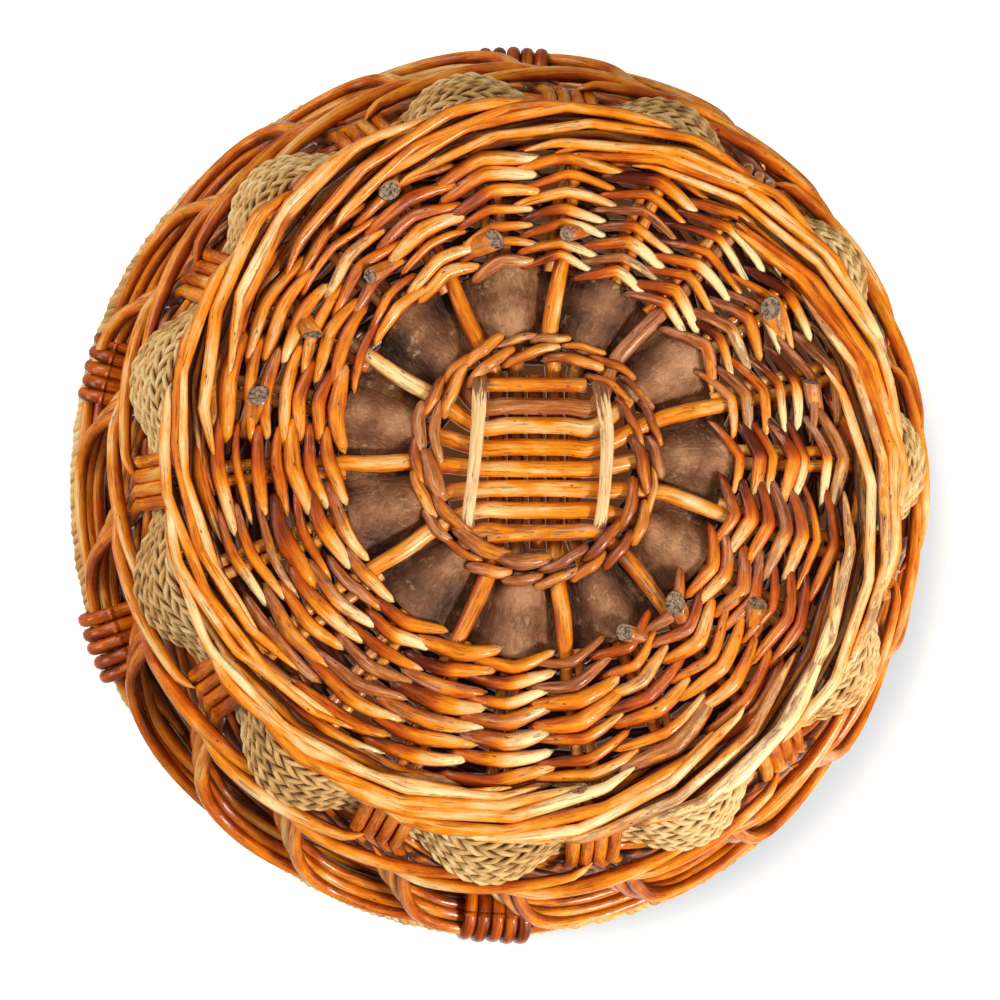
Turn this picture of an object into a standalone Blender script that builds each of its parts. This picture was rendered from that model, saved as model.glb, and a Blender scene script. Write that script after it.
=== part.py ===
"""A round wicker onion basket, standing upright with its foot on the ground.

Eight rods lie across five others in the middle of the base and are bound there. Eleven of
them run on as sticks to the edge of the base, where weavers are worked over and under them.
Groups of side stakes stand on the foot border, carry a plaited band and two waling rods,
and lean over into arches that end between the hoops of the rim.

Metres, +Z up. The origin is on the ground, under the middle of the basket.
"""

import math

import bmesh
import bpy
from mathutils import Vector

# Fit between neighbours
CLEARANCE = 0.0003

# Base sticks and the cross that they come from
STICK_RADIUS = 0.0033
SPOKES = 22
FIRST_SPOKE_TURN = math.radians(-1.7)
RODS_ACROSS = 8
RODS_ALONG = 5
ACROSS_GAP = 0.0015
ALONG_GAP = 0.0010
SHORT_ROD_LENGTH = 0.041
CROSS_OVERRUN = 0.0012
BASE_DOME = 0.006

# Peeled splints that hold the cross
SPLINT_WIDTH = 0.0044
SPLINT_THICKNESS = 0.002
SPLINT_LENGTH = 0.064
SPLINT_SPACING = 0.0245

# Inner pairing, bark band and weavers of the base
PAIRING_GAP = 0.0021
PAIRING_ROWS = 2
PAIRING_ROD_RADIUS = 0.0026
PAIRING_MARGIN = 0.0021
BARK_MARGIN = 0.0008
BARK_WIDTH = 0.0277
BARK_THICKNESS = 0.0015
WEAVER_RADIUS = 0.0027
WEAVER_ROWS = 7
WEAVER_GAP = 0.0008
WEAVER_MARGIN = 0.0011

# Foot border
FOOT_HEIGHT = 0.010
FOOT_RODS = 3
FOOT_ROD_WIDTH = 0.008
FOOT_GAP = 0.0028
FOOT_OVERHANG = 0.0004

# Side stakes
STAKE_DIAMETER = 0.0052
STAKES_IN_GROUP = 4
STAKES_IN_ARCH = 2
WALL_FLARE = 0.034
WALL_FLARE_POWER = 1.6
ARCH_LEAN = math.radians(-33.0)

# Plaited band
BRAID_HEIGHT = 0.024
BRAID_THICKNESS = 0.007
BRAID_STRANDS = 3

# Waling over the plaited band
WALING_RADIUS = 0.0024
WALING_RODS = 2
WALING_GAP = 0.0040

# Rim
RIM_HEIGHT = 0.140
RIM_ROPE_RADIUS = 0.0042
RIM_HOOP_RADIUS = 0.0034
LASHING_THICKNESS = 0.0030
LASHING_WIDTH = 0.029
LASHING_TURNS = 5
LASHING_VALLEY = 0.0010
LASHING_TURN_ANGLES = tuple(math.radians(turn) for turn in (91.0, 158.0, 197.0, 273.0))

# How finely round shapes are drawn
ROD_SIDES = 6
WEAVER_SIDES = 5
RIM_STATIONS = 2 * SPOKES
PAIRING_STATIONS = SPOKES
WAVE_FLAT_SHARE = 0.3
FAN_STEPS = 4
STRAIGHT_STEPS = 2
ARCH_STEPS = 6

# Sizes that follow from those above
SPOKE_TURN = 2 * math.pi / SPOKES
BASE_LEVEL = FOOT_HEIGHT + CLEARANCE + STICK_RADIUS
CROSS_OFFSET = STICK_RADIUS + CLEARANCE / 2
ACROSS_PITCH = 2 * STICK_RADIUS + ACROSS_GAP
ALONG_PITCH = 2 * STICK_RADIUS + ALONG_GAP
CROSS_HALF_WIDTH = RODS_ACROSS * ACROSS_PITCH / 2
ACROSS_HALF_LENGTH = SPLINT_SPACING + CROSS_OVERRUN
ALONG_HALF_LENGTH = CROSS_HALF_WIDTH + CROSS_OVERRUN
PAIRING_INNER_RADIUS = CROSS_HALF_WIDTH + PAIRING_GAP
FAN_RADIUS = PAIRING_INNER_RADIUS + 2 * PAIRING_ROWS * PAIRING_ROD_RADIUS + PAIRING_MARGIN
BARK_INNER_RADIUS = FAN_RADIUS + BARK_MARGIN
BARK_OUTER_RADIUS = BARK_INNER_RADIUS + BARK_WIDTH
WEAVER_PITCH = 2 * WEAVER_RADIUS + WEAVER_GAP
WEAVER_FIRST_RADIUS = BARK_OUTER_RADIUS + WEAVER_MARGIN + WEAVER_RADIUS
FOOT_INNER_RADIUS = WEAVER_FIRST_RADIUS + (WEAVER_ROWS - 1) * WEAVER_PITCH + WEAVER_RADIUS + FOOT_GAP
FOOT_OUTER_RADIUS = FOOT_INNER_RADIUS + FOOT_RODS * FOOT_ROD_WIDTH
WALL_FOOT_RADIUS = FOOT_OUTER_RADIUS - FOOT_OVERHANG - STAKE_DIAMETER / 2
WALL_RIM_RADIUS = WALL_FOOT_RADIUS + WALL_FLARE
BASE_RADIUS = WALL_FOOT_RADIUS - STAKE_DIAMETER / 2 - CLEARANCE
STAKE_FOOT = FOOT_HEIGHT + CLEARANCE
BRAID_FOOT = BASE_LEVEL + STICK_RADIUS + CLEARANCE
BRAID_LEVEL = BRAID_FOOT + BRAID_HEIGHT / 2
WALING_PITCH = 2 * WALING_RADIUS + CLEARANCE
WALING_LEVEL = BRAID_FOOT + BRAID_HEIGHT + WALING_GAP + WALING_RADIUS
ARCH_FOOT = WALING_LEVEL + (WALING_RODS - 1) * WALING_PITCH + WALING_RADIUS + STAKE_DIAMETER
ROPE_LEVEL = RIM_HEIGHT - RIM_ROPE_RADIUS
HOOP_LEVEL = ROPE_LEVEL - RIM_ROPE_RADIUS - CLEARANCE - RIM_HOOP_RADIUS
STAKE_TOP = ROPE_LEVEL - RIM_ROPE_RADIUS - CLEARANCE
ARCH_TOP = STAKE_TOP - STAKE_DIAMETER
FACET = math.cos(SPOKE_TURN / 4)


def clear_scene():
    """Remove whatever the file holds before the basket is made."""
    for thing in list(bpy.data.objects):
        bpy.data.objects.remove(thing, do_unlink=True)


def make_material(name, colour, roughness):
    """A plain painted stand-in for one kind of rod, rope or bark."""
    material = bpy.data.materials.new(name)
    material.use_nodes = True
    shader = material.node_tree.nodes["Principled BSDF"]
    shader.inputs["Base Color"].default_value = (*colour, 1.0)
    shader.inputs["Roughness"].default_value = roughness
    shader.inputs["Metallic"].default_value = 0.0
    return material


def dome(radius):
    """How far the base rises at this distance from its middle."""
    share = min(radius / BASE_RADIUS, 1.0)
    return BASE_DOME * (1.0 - share ** 2) ** 2


def wall_radius(height):
    """Distance of the side stakes from the axis at this height."""
    share = (height - STAKE_FOOT) / (STAKE_TOP - STAKE_FOOT)
    flare = 1.0 - (1.0 - min(max(share, 0.0), 1.0)) ** WALL_FLARE_POWER
    return WALL_FOOT_RADIUS + (WALL_RIM_RADIUS - WALL_FOOT_RADIUS) * flare


def polar(radius, turn, height):
    """The point at this distance and turn about the axis."""
    return Vector((radius * math.cos(turn), radius * math.sin(turn), height))


def smooth_step(share):
    """Ease from 0 to 1."""
    return share * share * (3.0 - 2.0 * share)


def round_section(radius, sides=ROD_SIDES):
    """Corners of a round rod's section, with a corner at each side."""
    turns = [2 * math.pi * index / sides for index in range(sides)]
    return [(radius * math.cos(turn), radius * math.sin(turn)) for turn in turns]


def make_object(name, mesh_data, material, domed=False):
    """Turn the faces outward, lift a base piece by the dome and place the object."""
    if domed:
        for vertex in mesh_data.verts:
            vertex.co.z += dome(vertex.co.xy.length)
    bmesh.ops.recalc_face_normals(mesh_data, faces=mesh_data.faces)
    mesh = bpy.data.meshes.new(name)
    mesh_data.to_mesh(mesh)
    mesh_data.free()
    mesh.shade_smooth()
    mesh.set_sharp_from_angle(angle=math.radians(50.0))
    mesh.materials.append(material)
    piece = bpy.data.objects.new(name, mesh)
    bpy.context.collection.objects.link(piece)
    return piece


def sweep(stations, closed):
    """Skin a row of equal outlines, as a ring or with a flat cap at each end."""
    mesh_data = bmesh.new()
    rings = [[mesh_data.verts.new(point) for point in outline] for outline in stations]
    last = len(rings) if closed else len(rings) - 1
    for index in range(last):
        near = rings[index]
        far = rings[(index + 1) % len(rings)]
        for corner in range(len(near)):
            after = (corner + 1) % len(near)
            mesh_data.faces.new((near[corner], near[after], far[after], far[corner]))
    if not closed:
        mesh_data.faces.new(rings[0])
        mesh_data.faces.new(rings[-1])
    return mesh_data


def ring_outline(turn, radius, height, section):
    """A section given as (outward, up), stood in the plane of this turn."""
    return [polar(radius + outward, turn, height + up) for outward, up in section]


def rod_outlines(points, section):
    """Stand a section, given as (sideways, up), across a route at each of its points."""
    outlines = []
    for index, point in enumerate(points):
        ahead = points[min(index + 1, len(points) - 1)]
        behind = points[max(index - 1, 0)]
        along = (ahead - behind).normalized()
        side = Vector((-along.y, along.x, 0.0)).normalized()
        upward = along.cross(side)
        outlines.append([point + side * across + upward * up for across, up in section])
    return outlines


def woven_turns():
    """Turns at which a woven ring bends: one before and one after each spoke, with its side."""
    turns = []
    for spoke in range(SPOKES):
        side = 1 if spoke % 2 else -1
        middle = FIRST_SPOKE_TURN + spoke * SPOKE_TURN
        turns.append((middle - WAVE_FLAT_SHARE * SPOKE_TURN, side))
        turns.append((middle + WAVE_FLAT_SHARE * SPOKE_TURN, side))
    return turns


def facet_allowance(radius):
    """How far the flat of a woven ring lies inside its corners, over a spoke."""
    return radius * (1.0 - math.cos(WAVE_FLAT_SHARE * SPOKE_TURN))


# Base


def fan_points(start, heading, spoke, level):
    """A smooth bend from the edge of the cross to the start of a spoke."""
    turn = FIRST_SPOKE_TURN + spoke * SPOKE_TURN
    goal = polar(FAN_RADIUS, turn, BASE_LEVEL)
    outward = polar(1.0, turn, 0.0)
    reach = (goal - start).length
    points = []
    for step in range(FAN_STEPS + 1):
        share = step / FAN_STEPS
        keep = 1.0 - share
        point = start * (keep ** 2 * (1.0 + 2.0 * share)) + goal * (share ** 2 * (3.0 - 2.0 * share))
        point += heading * (reach * share * keep ** 2) - outward * (reach * share ** 2 * keep)
        point.z = BASE_LEVEL + level * (1.0 - smooth_step(share))
        points.append(point)
    end = polar(BASE_RADIUS, turn, BASE_LEVEL)
    middle = polar((BASE_RADIUS + FAN_RADIUS) / 2, turn, BASE_LEVEL)
    return points + [middle, end]


def stick_points(direction, offset, half_length, level, spoke_ahead, spoke_behind):
    """Route of a stick that runs right across the base, from one spoke to another."""
    sideways = Vector((-direction.y, direction.x, 0.0))
    height = Vector((0.0, 0.0, BASE_LEVEL + level))
    ahead = direction * half_length + sideways * offset + height
    behind = sideways * offset - direction * half_length + height
    route = list(reversed(fan_points(behind, -direction, spoke_behind, level)))
    return route + fan_points(ahead, direction, spoke_ahead, level)


def short_rod_points(direction, offset, length, level):
    """Route of a rod that ends inside the inner pairing."""
    sideways = Vector((-direction.y, direction.x, 0.0))
    middle = sideways * offset + Vector((0.0, 0.0, BASE_LEVEL + level))
    return [middle + direction * (length * share) for share in (-0.5, -0.25, 0.25, 0.5)]


def add_cross(willow, brown):
    """The rods of the cross, eleven of which run on as the sticks of the base."""
    section = round_section(STICK_RADIUS)
    along_x = Vector((1.0, 0.0, 0.0))
    for rod in range(RODS_ACROSS):
        offset = (rod - (RODS_ACROSS - 1) / 2) * ACROSS_PITCH
        if rod == 0:
            points = short_rod_points(along_x, offset, SHORT_ROD_LENGTH, -CROSS_OFFSET)
            make_object("short_rod_across", sweep(rod_outlines(points, section), False), brown, True)
            continue
        ahead = rod - RODS_ACROSS // 2
        behind = SPOKES // 2 - ahead
        points = stick_points(along_x, offset, ACROSS_HALF_LENGTH, -CROSS_OFFSET, ahead, behind)
        make_object(f"stick_across_{rod}", sweep(rod_outlines(points, section), False), willow, True)
    along_y = Vector((0.0, 1.0, 0.0))
    sticks = RODS_ALONG - 1
    for rod in range(RODS_ALONG):
        offset = (rod - sticks / 2) * ALONG_PITCH
        if rod == sticks // 2:
            points = short_rod_points(along_y, offset, 2 * ALONG_HALF_LENGTH, CROSS_OFFSET)
            make_object("short_rod_along", sweep(rod_outlines(points, section), False), brown, True)
            continue
        order = rod if rod < sticks // 2 else rod - 1
        ahead = RODS_ACROSS // 2 + order
        behind = SPOKES - RODS_ACROSS // 2 - order
        points = stick_points(along_y, offset, ALONG_HALF_LENGTH, CROSS_OFFSET, ahead, behind)
        make_object(f"stick_along_{order + 1}", sweep(rod_outlines(points, section), False), willow, True)


def add_splints(peeled):
    """Two flat peeled splints laid over the rods of the cross, on the side that faces down."""
    half_width = SPLINT_WIDTH / 2
    half_thickness = SPLINT_THICKNESS / 2
    section = [
        (-half_width, 0.0), (-half_width / 2, -half_thickness), (half_width / 2, -half_thickness),
        (half_width, 0.0), (half_width / 2, half_thickness), (-half_width / 2, half_thickness),
    ]
    level = BASE_LEVEL - CROSS_OFFSET - STICK_RADIUS - CLEARANCE - half_thickness
    for name, side in (("splint_left", -1), ("splint_right", 1)):
        shares = (-0.5, -0.3, 0.0, 0.3, 0.5)
        points = [Vector((side * SPLINT_SPACING, SPLINT_LENGTH * share, level)) for share in shares]
        make_object(name, sweep(rod_outlines(points, section), False), peeled, True)


def ribbed_section(inner, rods, rod_width, bottom, top):
    """A band of rods lying side by side: a ridge on each rod above and below, a valley between."""
    middle = (bottom + top) / 2
    valley_share = 0.6
    lower = [(inner, middle)]
    upper = []
    for rod in range(rods):
        left = inner + rod * rod_width
        lower += [(left + rod_width / 4, bottom), (left + rod_width * 3 / 4, bottom)]
        upper += [(left + rod_width / 4, top), (left + rod_width * 3 / 4, top)]
        if rod < rods - 1:
            lower.append((left + rod_width, middle + (bottom - middle) * valley_share))
            upper.append((left + rod_width, middle + (top - middle) * valley_share))
    lower.append((inner + rods * rod_width, middle))
    return lower + list(reversed(upper))


def add_plain_ring(name, section, material, domed=False, stations=RIM_STATIONS):
    """A ring that isn't woven, turned from a section given as (distance, height)."""
    outlines = []
    for station in range(stations):
        turn = FIRST_SPOKE_TURN + station * 2 * math.pi / stations
        outlines.append(ring_outline(turn, 0.0, 0.0, section))
    make_object(name, sweep(outlines, True), material, domed)


def add_inner_pairing(willow):
    """The twined rows round the cross, as one band under the sticks and one over them."""
    gap = CROSS_OFFSET + STICK_RADIUS + CLEARANCE
    under = gap + SPLINT_THICKNESS + CLEARANCE
    width = 2 * PAIRING_ROD_RADIUS
    for name, near, far in (
        ("inner_pairing_under", -under, -under - width),
        ("inner_pairing_over", gap, gap + width),
    ):
        bottom = BASE_LEVEL + min(near, far)
        top = BASE_LEVEL + max(near, far)
        section = ribbed_section(PAIRING_INNER_RADIUS, PAIRING_ROWS, width, bottom, top)
        add_plain_ring(name, section, willow, True, PAIRING_STATIONS)


def add_bark_band(bark):
    """The broad band of bark, over one stick and under the next."""
    half = BARK_THICKNESS / 2
    width = BARK_OUTER_RADIUS - BARK_INNER_RADIUS
    rise = STICK_RADIUS + CLEARANCE + half
    section = [(0.0, -half), (width, -half), (width, half), (0.0, half)]
    outlines = []
    for turn, side in woven_turns():
        outlines.append(ring_outline(turn, BARK_INNER_RADIUS, BASE_LEVEL + side * rise, section))
    make_object("bark_band", sweep(outlines, True), bark, True)


def add_weavers(willow):
    """Rows of weavers from the bark band outwards, each over the sticks the last went under."""
    rise = STICK_RADIUS + WEAVER_RADIUS + CLEARANCE
    section = round_section(WEAVER_RADIUS, WEAVER_SIDES)
    for row in range(WEAVER_ROWS):
        radius = WEAVER_FIRST_RADIUS + row * WEAVER_PITCH
        flip = 1 if row % 2 else -1
        outlines = []
        for turn, side in woven_turns():
            outlines.append(ring_outline(turn, radius, BASE_LEVEL + flip * side * rise, section))
        make_object(f"base_weaver_row_{row + 1}", sweep(outlines, True), willow, True)


def add_foot_border(willow):
    """The thick border under the edge of the base, with flats that the basket stands on."""
    rounding = FOOT_ROD_WIDTH / 4
    section = [(FOOT_INNER_RADIUS, FOOT_HEIGHT / 2)]
    for rod in range(FOOT_RODS):
        left = FOOT_INNER_RADIUS + rod * FOOT_ROD_WIDTH
        right = left + FOOT_ROD_WIDTH
        section += [(left + rounding, 0.0), (right - rounding, 0.0)]
        if rod < FOOT_RODS - 1:
            section.append((right, rounding))
    section.append((FOOT_OUTER_RADIUS, FOOT_HEIGHT / 2))
    section.append((FOOT_OUTER_RADIUS - rounding, FOOT_HEIGHT))
    section.append((FOOT_INNER_RADIUS + rounding, FOOT_HEIGHT))
    add_plain_ring("foot_border", section, willow)


# Side


def stake_section(rods):
    """Rods side by side, given as (sideways, outward), with a ridge on each rod's outer side."""
    radius = STAKE_DIAMETER / 2
    half_width = rods * radius
    outer = [(-half_width, 0.0)]
    for rod in range(rods):
        middle = (2 * rod + 1) * radius - half_width
        outer.append((middle, radius))
        if rod < rods - 1:
            outer.append((middle + radius, radius / 3))
    outer.append((half_width, 0.0))
    return outer + [(half_width - radius, -radius), (radius - half_width, -radius)]


def stake_route(spoke):
    """Points up the wall: straight to the waling, then over into the leaning arch."""
    turn = FIRST_SPOKE_TURN + spoke * SPOKE_TURN
    points = []
    widths = []
    for step in range(STRAIGHT_STEPS + 1):
        height = STAKE_FOOT + (ARCH_FOOT - STAKE_FOOT) * step / STRAIGHT_STEPS
        points.append(polar(wall_radius(height), turn, height))
        widths.append(1.0)
    narrowing = STAKES_IN_ARCH / STAKES_IN_GROUP - 1.0
    for step in range(1, ARCH_STEPS + 1):
        share = step / ARCH_STEPS
        height = ARCH_FOOT + (ARCH_TOP - ARCH_FOOT) * math.sin(share * math.pi / 2)
        lean = ARCH_LEAN * share ** 1.5
        points.append(polar(wall_radius(height), turn + lean, height))
        widths.append(1.0 + narrowing * min(2 * share, 1.0))
    return points, widths


def add_side_stakes(stained):
    """Groups of four stakes at each spoke, drawn together to two where they arch to the rim."""
    section = stake_section(STAKES_IN_GROUP)
    for spoke in range(SPOKES):
        points, widths = stake_route(spoke)
        outlines = []
        for index, point in enumerate(points):
            ahead = points[min(index + 1, len(points) - 1)]
            behind = points[max(index - 1, 0)]
            along = (ahead - behind).normalized()
            outward = Vector((point.x, point.y, 0.0)).normalized()
            if index == 0:
                along = Vector((0.0, 0.0, 1.0))
            if index == STRAIGHT_STEPS:
                along = (point - behind).normalized()
            side = along.cross(outward).normalized()
            face = side.cross(along)
            width = widths[index]
            outlines.append([point + side * (across * width) + face * out for across, out in section])
        make_object(f"side_stakes_{spoke + 1:02d}", sweep(outlines, False), stained)


def add_braid(seagrass):
    """The plaited band, outside one group of stakes and inside the next."""
    half = BRAID_THICKNESS / 2
    strand = BRAID_HEIGHT / BRAID_STRANDS
    bottom = -BRAID_HEIGHT / 2
    section = [(0.0, bottom)]
    for index in range(BRAID_STRANDS):
        low = bottom + index * strand
        section.append((half, low + strand / 2))
        if index < BRAID_STRANDS - 1:
            section.append((half / 2, low + strand))
    section += [(0.0, -bottom), (-half, -bottom - strand / 2), (-half, bottom + strand / 2)]
    lift = (STAKE_DIAMETER + BRAID_THICKNESS) / 2 + CLEARANCE
    outlines = []
    for turn, side in woven_turns():
        outline = []
        for outward, up in section:
            radius = wall_radius(BRAID_LEVEL + up)
            reach = radius - side * (lift + facet_allowance(radius)) + outward
            outline.append(polar(reach, turn, BRAID_LEVEL + up))
        outlines.append(outline)
    make_object("seagrass_braid", sweep(outlines, True), seagrass)


def add_waling(willow):
    """Two rods over the plaited band, each outside the groups that the other goes inside."""
    section = round_section(WALING_RADIUS, WEAVER_SIDES)
    lift = STAKE_DIAMETER / 2 + WALING_RADIUS + CLEARANCE
    for rod in range(WALING_RODS):
        height = WALING_LEVEL + rod * WALING_PITCH
        radius = wall_radius(height)
        reach = lift + facet_allowance(radius)
        flip = 1 if rod % 2 else -1
        outlines = []
        for turn, side in woven_turns():
            outlines.append(ring_outline(turn, radius + flip * side * reach, height, section))
        make_object(f"waling_rod_{rod + 1}", sweep(outlines, True), willow)


# Rim


def hoop_radii():
    """Distances of the inner and the outer hoop, either side of the ends of the stakes."""
    gap = STAKE_DIAMETER / 2 + CLEARANCE + RIM_HOOP_RADIUS
    return WALL_RIM_RADIUS * FACET - gap, (WALL_RIM_RADIUS + gap) / FACET


def add_rim(willow, seagrass):
    """Two hoops that clasp the stakes, and the rope laid on them along the outer edge."""
    inner, outer = hoop_radii()
    for name, radius in (("rim_hoop_inner", inner), ("rim_hoop_outer", outer)):
        section = [(radius + out, HOOP_LEVEL + up) for out, up in round_section(RIM_HOOP_RADIUS)]
        add_plain_ring(name, section, willow)
    section = [(outer + out, ROPE_LEVEL + up) for out, up in round_section(RIM_ROPE_RADIUS)]
    add_plain_ring("rim_rope", section, seagrass)


def lashing_outline(turn, thickness):
    """The bent section of a lashing: down the outside, over the rope and down the inside."""
    inner, outer = hoop_radii()
    sag = outer * (1.0 - FACET)
    corner_share = math.sqrt(2.0) - 1.0
    low = HOOP_LEVEL - RIM_HOOP_RADIUS - CLEARANCE
    reach = RIM_ROPE_RADIUS + CLEARANCE
    cut = reach * corner_share
    inside = inner - RIM_HOOP_RADIUS - CLEARANCE - sag
    shoulder = HOOP_LEVEL + RIM_HOOP_RADIUS + CLEARANCE
    foot = low - thickness
    mouth = STAKE_DIAMETER / 2 + CLEARANCE + sag
    mouth_outer = WALL_RIM_RADIUS + mouth
    mouth_inner = wall_radius(foot) - mouth - sag
    within = [
        (mouth_outer, low), (outer + reach, low), (outer + reach, ROPE_LEVEL + cut),
        (outer + cut, ROPE_LEVEL + reach), (outer - reach, ROPE_LEVEL + reach),
        (inside, shoulder), (inside, low), (mouth_inner, low),
    ]
    skin = reach + thickness
    cut = skin * corner_share
    face = inside - thickness
    without = [
        (mouth_outer, foot), (outer + reach, foot), (outer + skin, low),
        (outer + skin, ROPE_LEVEL + cut), (outer + cut, ROPE_LEVEL + skin),
        (outer - reach, ROPE_LEVEL + skin), (face, shoulder + thickness / 2), (face, low),
        (inside, foot), (mouth_inner, foot),
    ]
    return [polar(radius, turn, height) for radius, height in within + list(reversed(without))]


def add_lashings(stained):
    """Bundles of five turns round the rim, open below where the stakes come up."""
    half_turn = LASHING_WIDTH / 2 / WALL_RIM_RADIUS
    stations = 2 * LASHING_TURNS
    for number, middle in enumerate(LASHING_TURN_ANGLES):
        outlines = []
        for station in range(stations + 1):
            turn = middle + half_turn * (2.0 * station / stations - 1.0)
            ridge = station % 2
            thickness = LASHING_THICKNESS - (0.0 if ridge else LASHING_VALLEY)
            outlines.append(lashing_outline(turn, thickness))
        make_object(f"rim_lashing_{number + 1}", sweep(outlines, False), stained)


def main():
    """Make the whole basket."""
    clear_scene()
    willow = make_material("varnished_willow", (0.62, 0.27, 0.045), 0.3)
    brown = make_material("brown_willow", (0.36, 0.17, 0.09), 0.35)
    stained = make_material("stained_stakes", (0.28, 0.10, 0.03), 0.3)
    peeled = make_material("peeled_splint", (0.72, 0.60, 0.36), 0.5)
    bark = make_material("bark", (0.10, 0.05, 0.03), 0.7)
    seagrass = make_material("seagrass", (0.46, 0.35, 0.17), 0.8)
    add_cross(willow, brown)
    add_splints(peeled)
    add_inner_pairing(willow)
    add_bark_band(bark)
    add_weavers(willow)
    add_foot_border(willow)
    add_side_stakes(stained)
    add_braid(seagrass)
    add_waling(willow)
    add_rim(willow, seagrass)
    add_lashings(stained)


if __name__ == "__main__":
    main()
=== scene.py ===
"""Looks of a round willow onion basket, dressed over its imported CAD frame.

The basket stands upright with its foot on the ground. The camera looks at its base from below.
"""
import logging
import math
from dataclasses import dataclass, field
from enum import Enum

import bpy
import numpy as np
from mathutils import Matrix, Vector


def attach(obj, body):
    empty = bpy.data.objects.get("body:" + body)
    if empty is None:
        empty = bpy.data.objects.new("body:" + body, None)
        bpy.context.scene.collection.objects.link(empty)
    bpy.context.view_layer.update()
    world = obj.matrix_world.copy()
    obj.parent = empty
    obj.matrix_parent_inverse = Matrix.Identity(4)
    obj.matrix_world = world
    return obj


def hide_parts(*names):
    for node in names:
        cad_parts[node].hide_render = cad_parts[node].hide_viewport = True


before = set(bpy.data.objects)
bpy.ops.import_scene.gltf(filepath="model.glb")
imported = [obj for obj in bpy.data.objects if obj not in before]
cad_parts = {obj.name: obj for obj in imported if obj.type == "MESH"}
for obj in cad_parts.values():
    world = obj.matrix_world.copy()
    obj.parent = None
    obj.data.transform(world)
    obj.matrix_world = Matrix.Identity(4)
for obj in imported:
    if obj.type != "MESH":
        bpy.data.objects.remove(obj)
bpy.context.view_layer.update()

LOG = logging.getLogger("onion_basket")
MM = 0.001
SPANS_AT_ONCE = 48
DOWN = np.array((0.0, 0.0, -1.0))
UP = np.array((0.0, 0.0, 1.0))
Triple = tuple[float, float, float]
Colour = Triple
Route = tuple[np.ndarray, np.ndarray]


def srgb(red: float, green: float, blue: float) -> Colour:
    """Return the linear colour of an 8-bit display colour.

    Args:
        red: red, from 0 to 255.
        green: green, from 0 to 255.
        blue: blue, from 0 to 255.

    Returns:
        The three linear parts, from 0 to 1.
    """
    parts = [value / 255 for value in (red, green, blue)]
    linear = [v / 12.92 if v <= 0.04045 else ((v + 0.055) / 1.055) ** 2.4 for v in parts]
    return linear[0], linear[1], linear[2]


def darker(colour: Colour, share: float) -> Colour:
    """Return a share of a colour's light."""
    return tuple(share * part for part in colour)


def rising(value: np.ndarray, start: float, span: float) -> np.ndarray:
    """Return how far a value has gone past a start over a span, from 0 to 1."""
    return np.clip((value - start) / span, 0, 1)


def hill(value: np.ndarray, middle: float, width: float) -> np.ndarray:
    """Return a smooth hill, 1 at its middle and low beyond its width."""
    return np.exp(-((value - middle) / width) ** 2)


# Shader recipes


class Flow:
    """One number, colour or vector on its way through a material, with the usual arithmetic."""

    def __init__(self, recipe: "Recipe", socket: bpy.types.NodeSocket) -> None:
        """Keep the socket and the recipe that it belongs to."""
        self.recipe = recipe
        self.socket = socket

    def _math(self, operation: str, first: "Flow | float", second: "Flow | float") -> "Flow":
        """Return a Math node's result on two values."""
        node = self.recipe.node("ShaderNodeMath", {"operation": operation}, {0: first, 1: second})
        return Flow(self.recipe, node.outputs[0])

    def __add__(self, other: "Flow | float") -> "Flow":
        """Return the sum."""
        return self._math("ADD", self, other)

    def __radd__(self, other: float) -> "Flow":
        """Return the sum."""
        return self._math("ADD", other, self)

    def __sub__(self, other: "Flow | float") -> "Flow":
        """Return the difference."""
        return self._math("SUBTRACT", self, other)

    def __rsub__(self, other: float) -> "Flow":
        """Return the difference the other way round."""
        return self._math("SUBTRACT", other, self)

    def __mul__(self, other: "Flow | float") -> "Flow":
        """Return the product."""
        return self._math("MULTIPLY", self, other)

    def __rmul__(self, other: float) -> "Flow":
        """Return the product."""
        return self._math("MULTIPLY", other, self)

    def step(self, low: float, high: float) -> "Flow":
        """Return how far the value has gone from low to high, smoothly from 0 to 1.

        Args:
            low: value that gives 0.
            high: value that gives 1.

        Returns:
            The eased share.
        """
        node = self.recipe.node(
            "ShaderNodeMapRange",
            {"interpolation_type": "SMOOTHSTEP"},
            {"Value": self, "From Min": low, "From Max": high},
        )
        return Flow(self.recipe, node.outputs[0])


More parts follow.
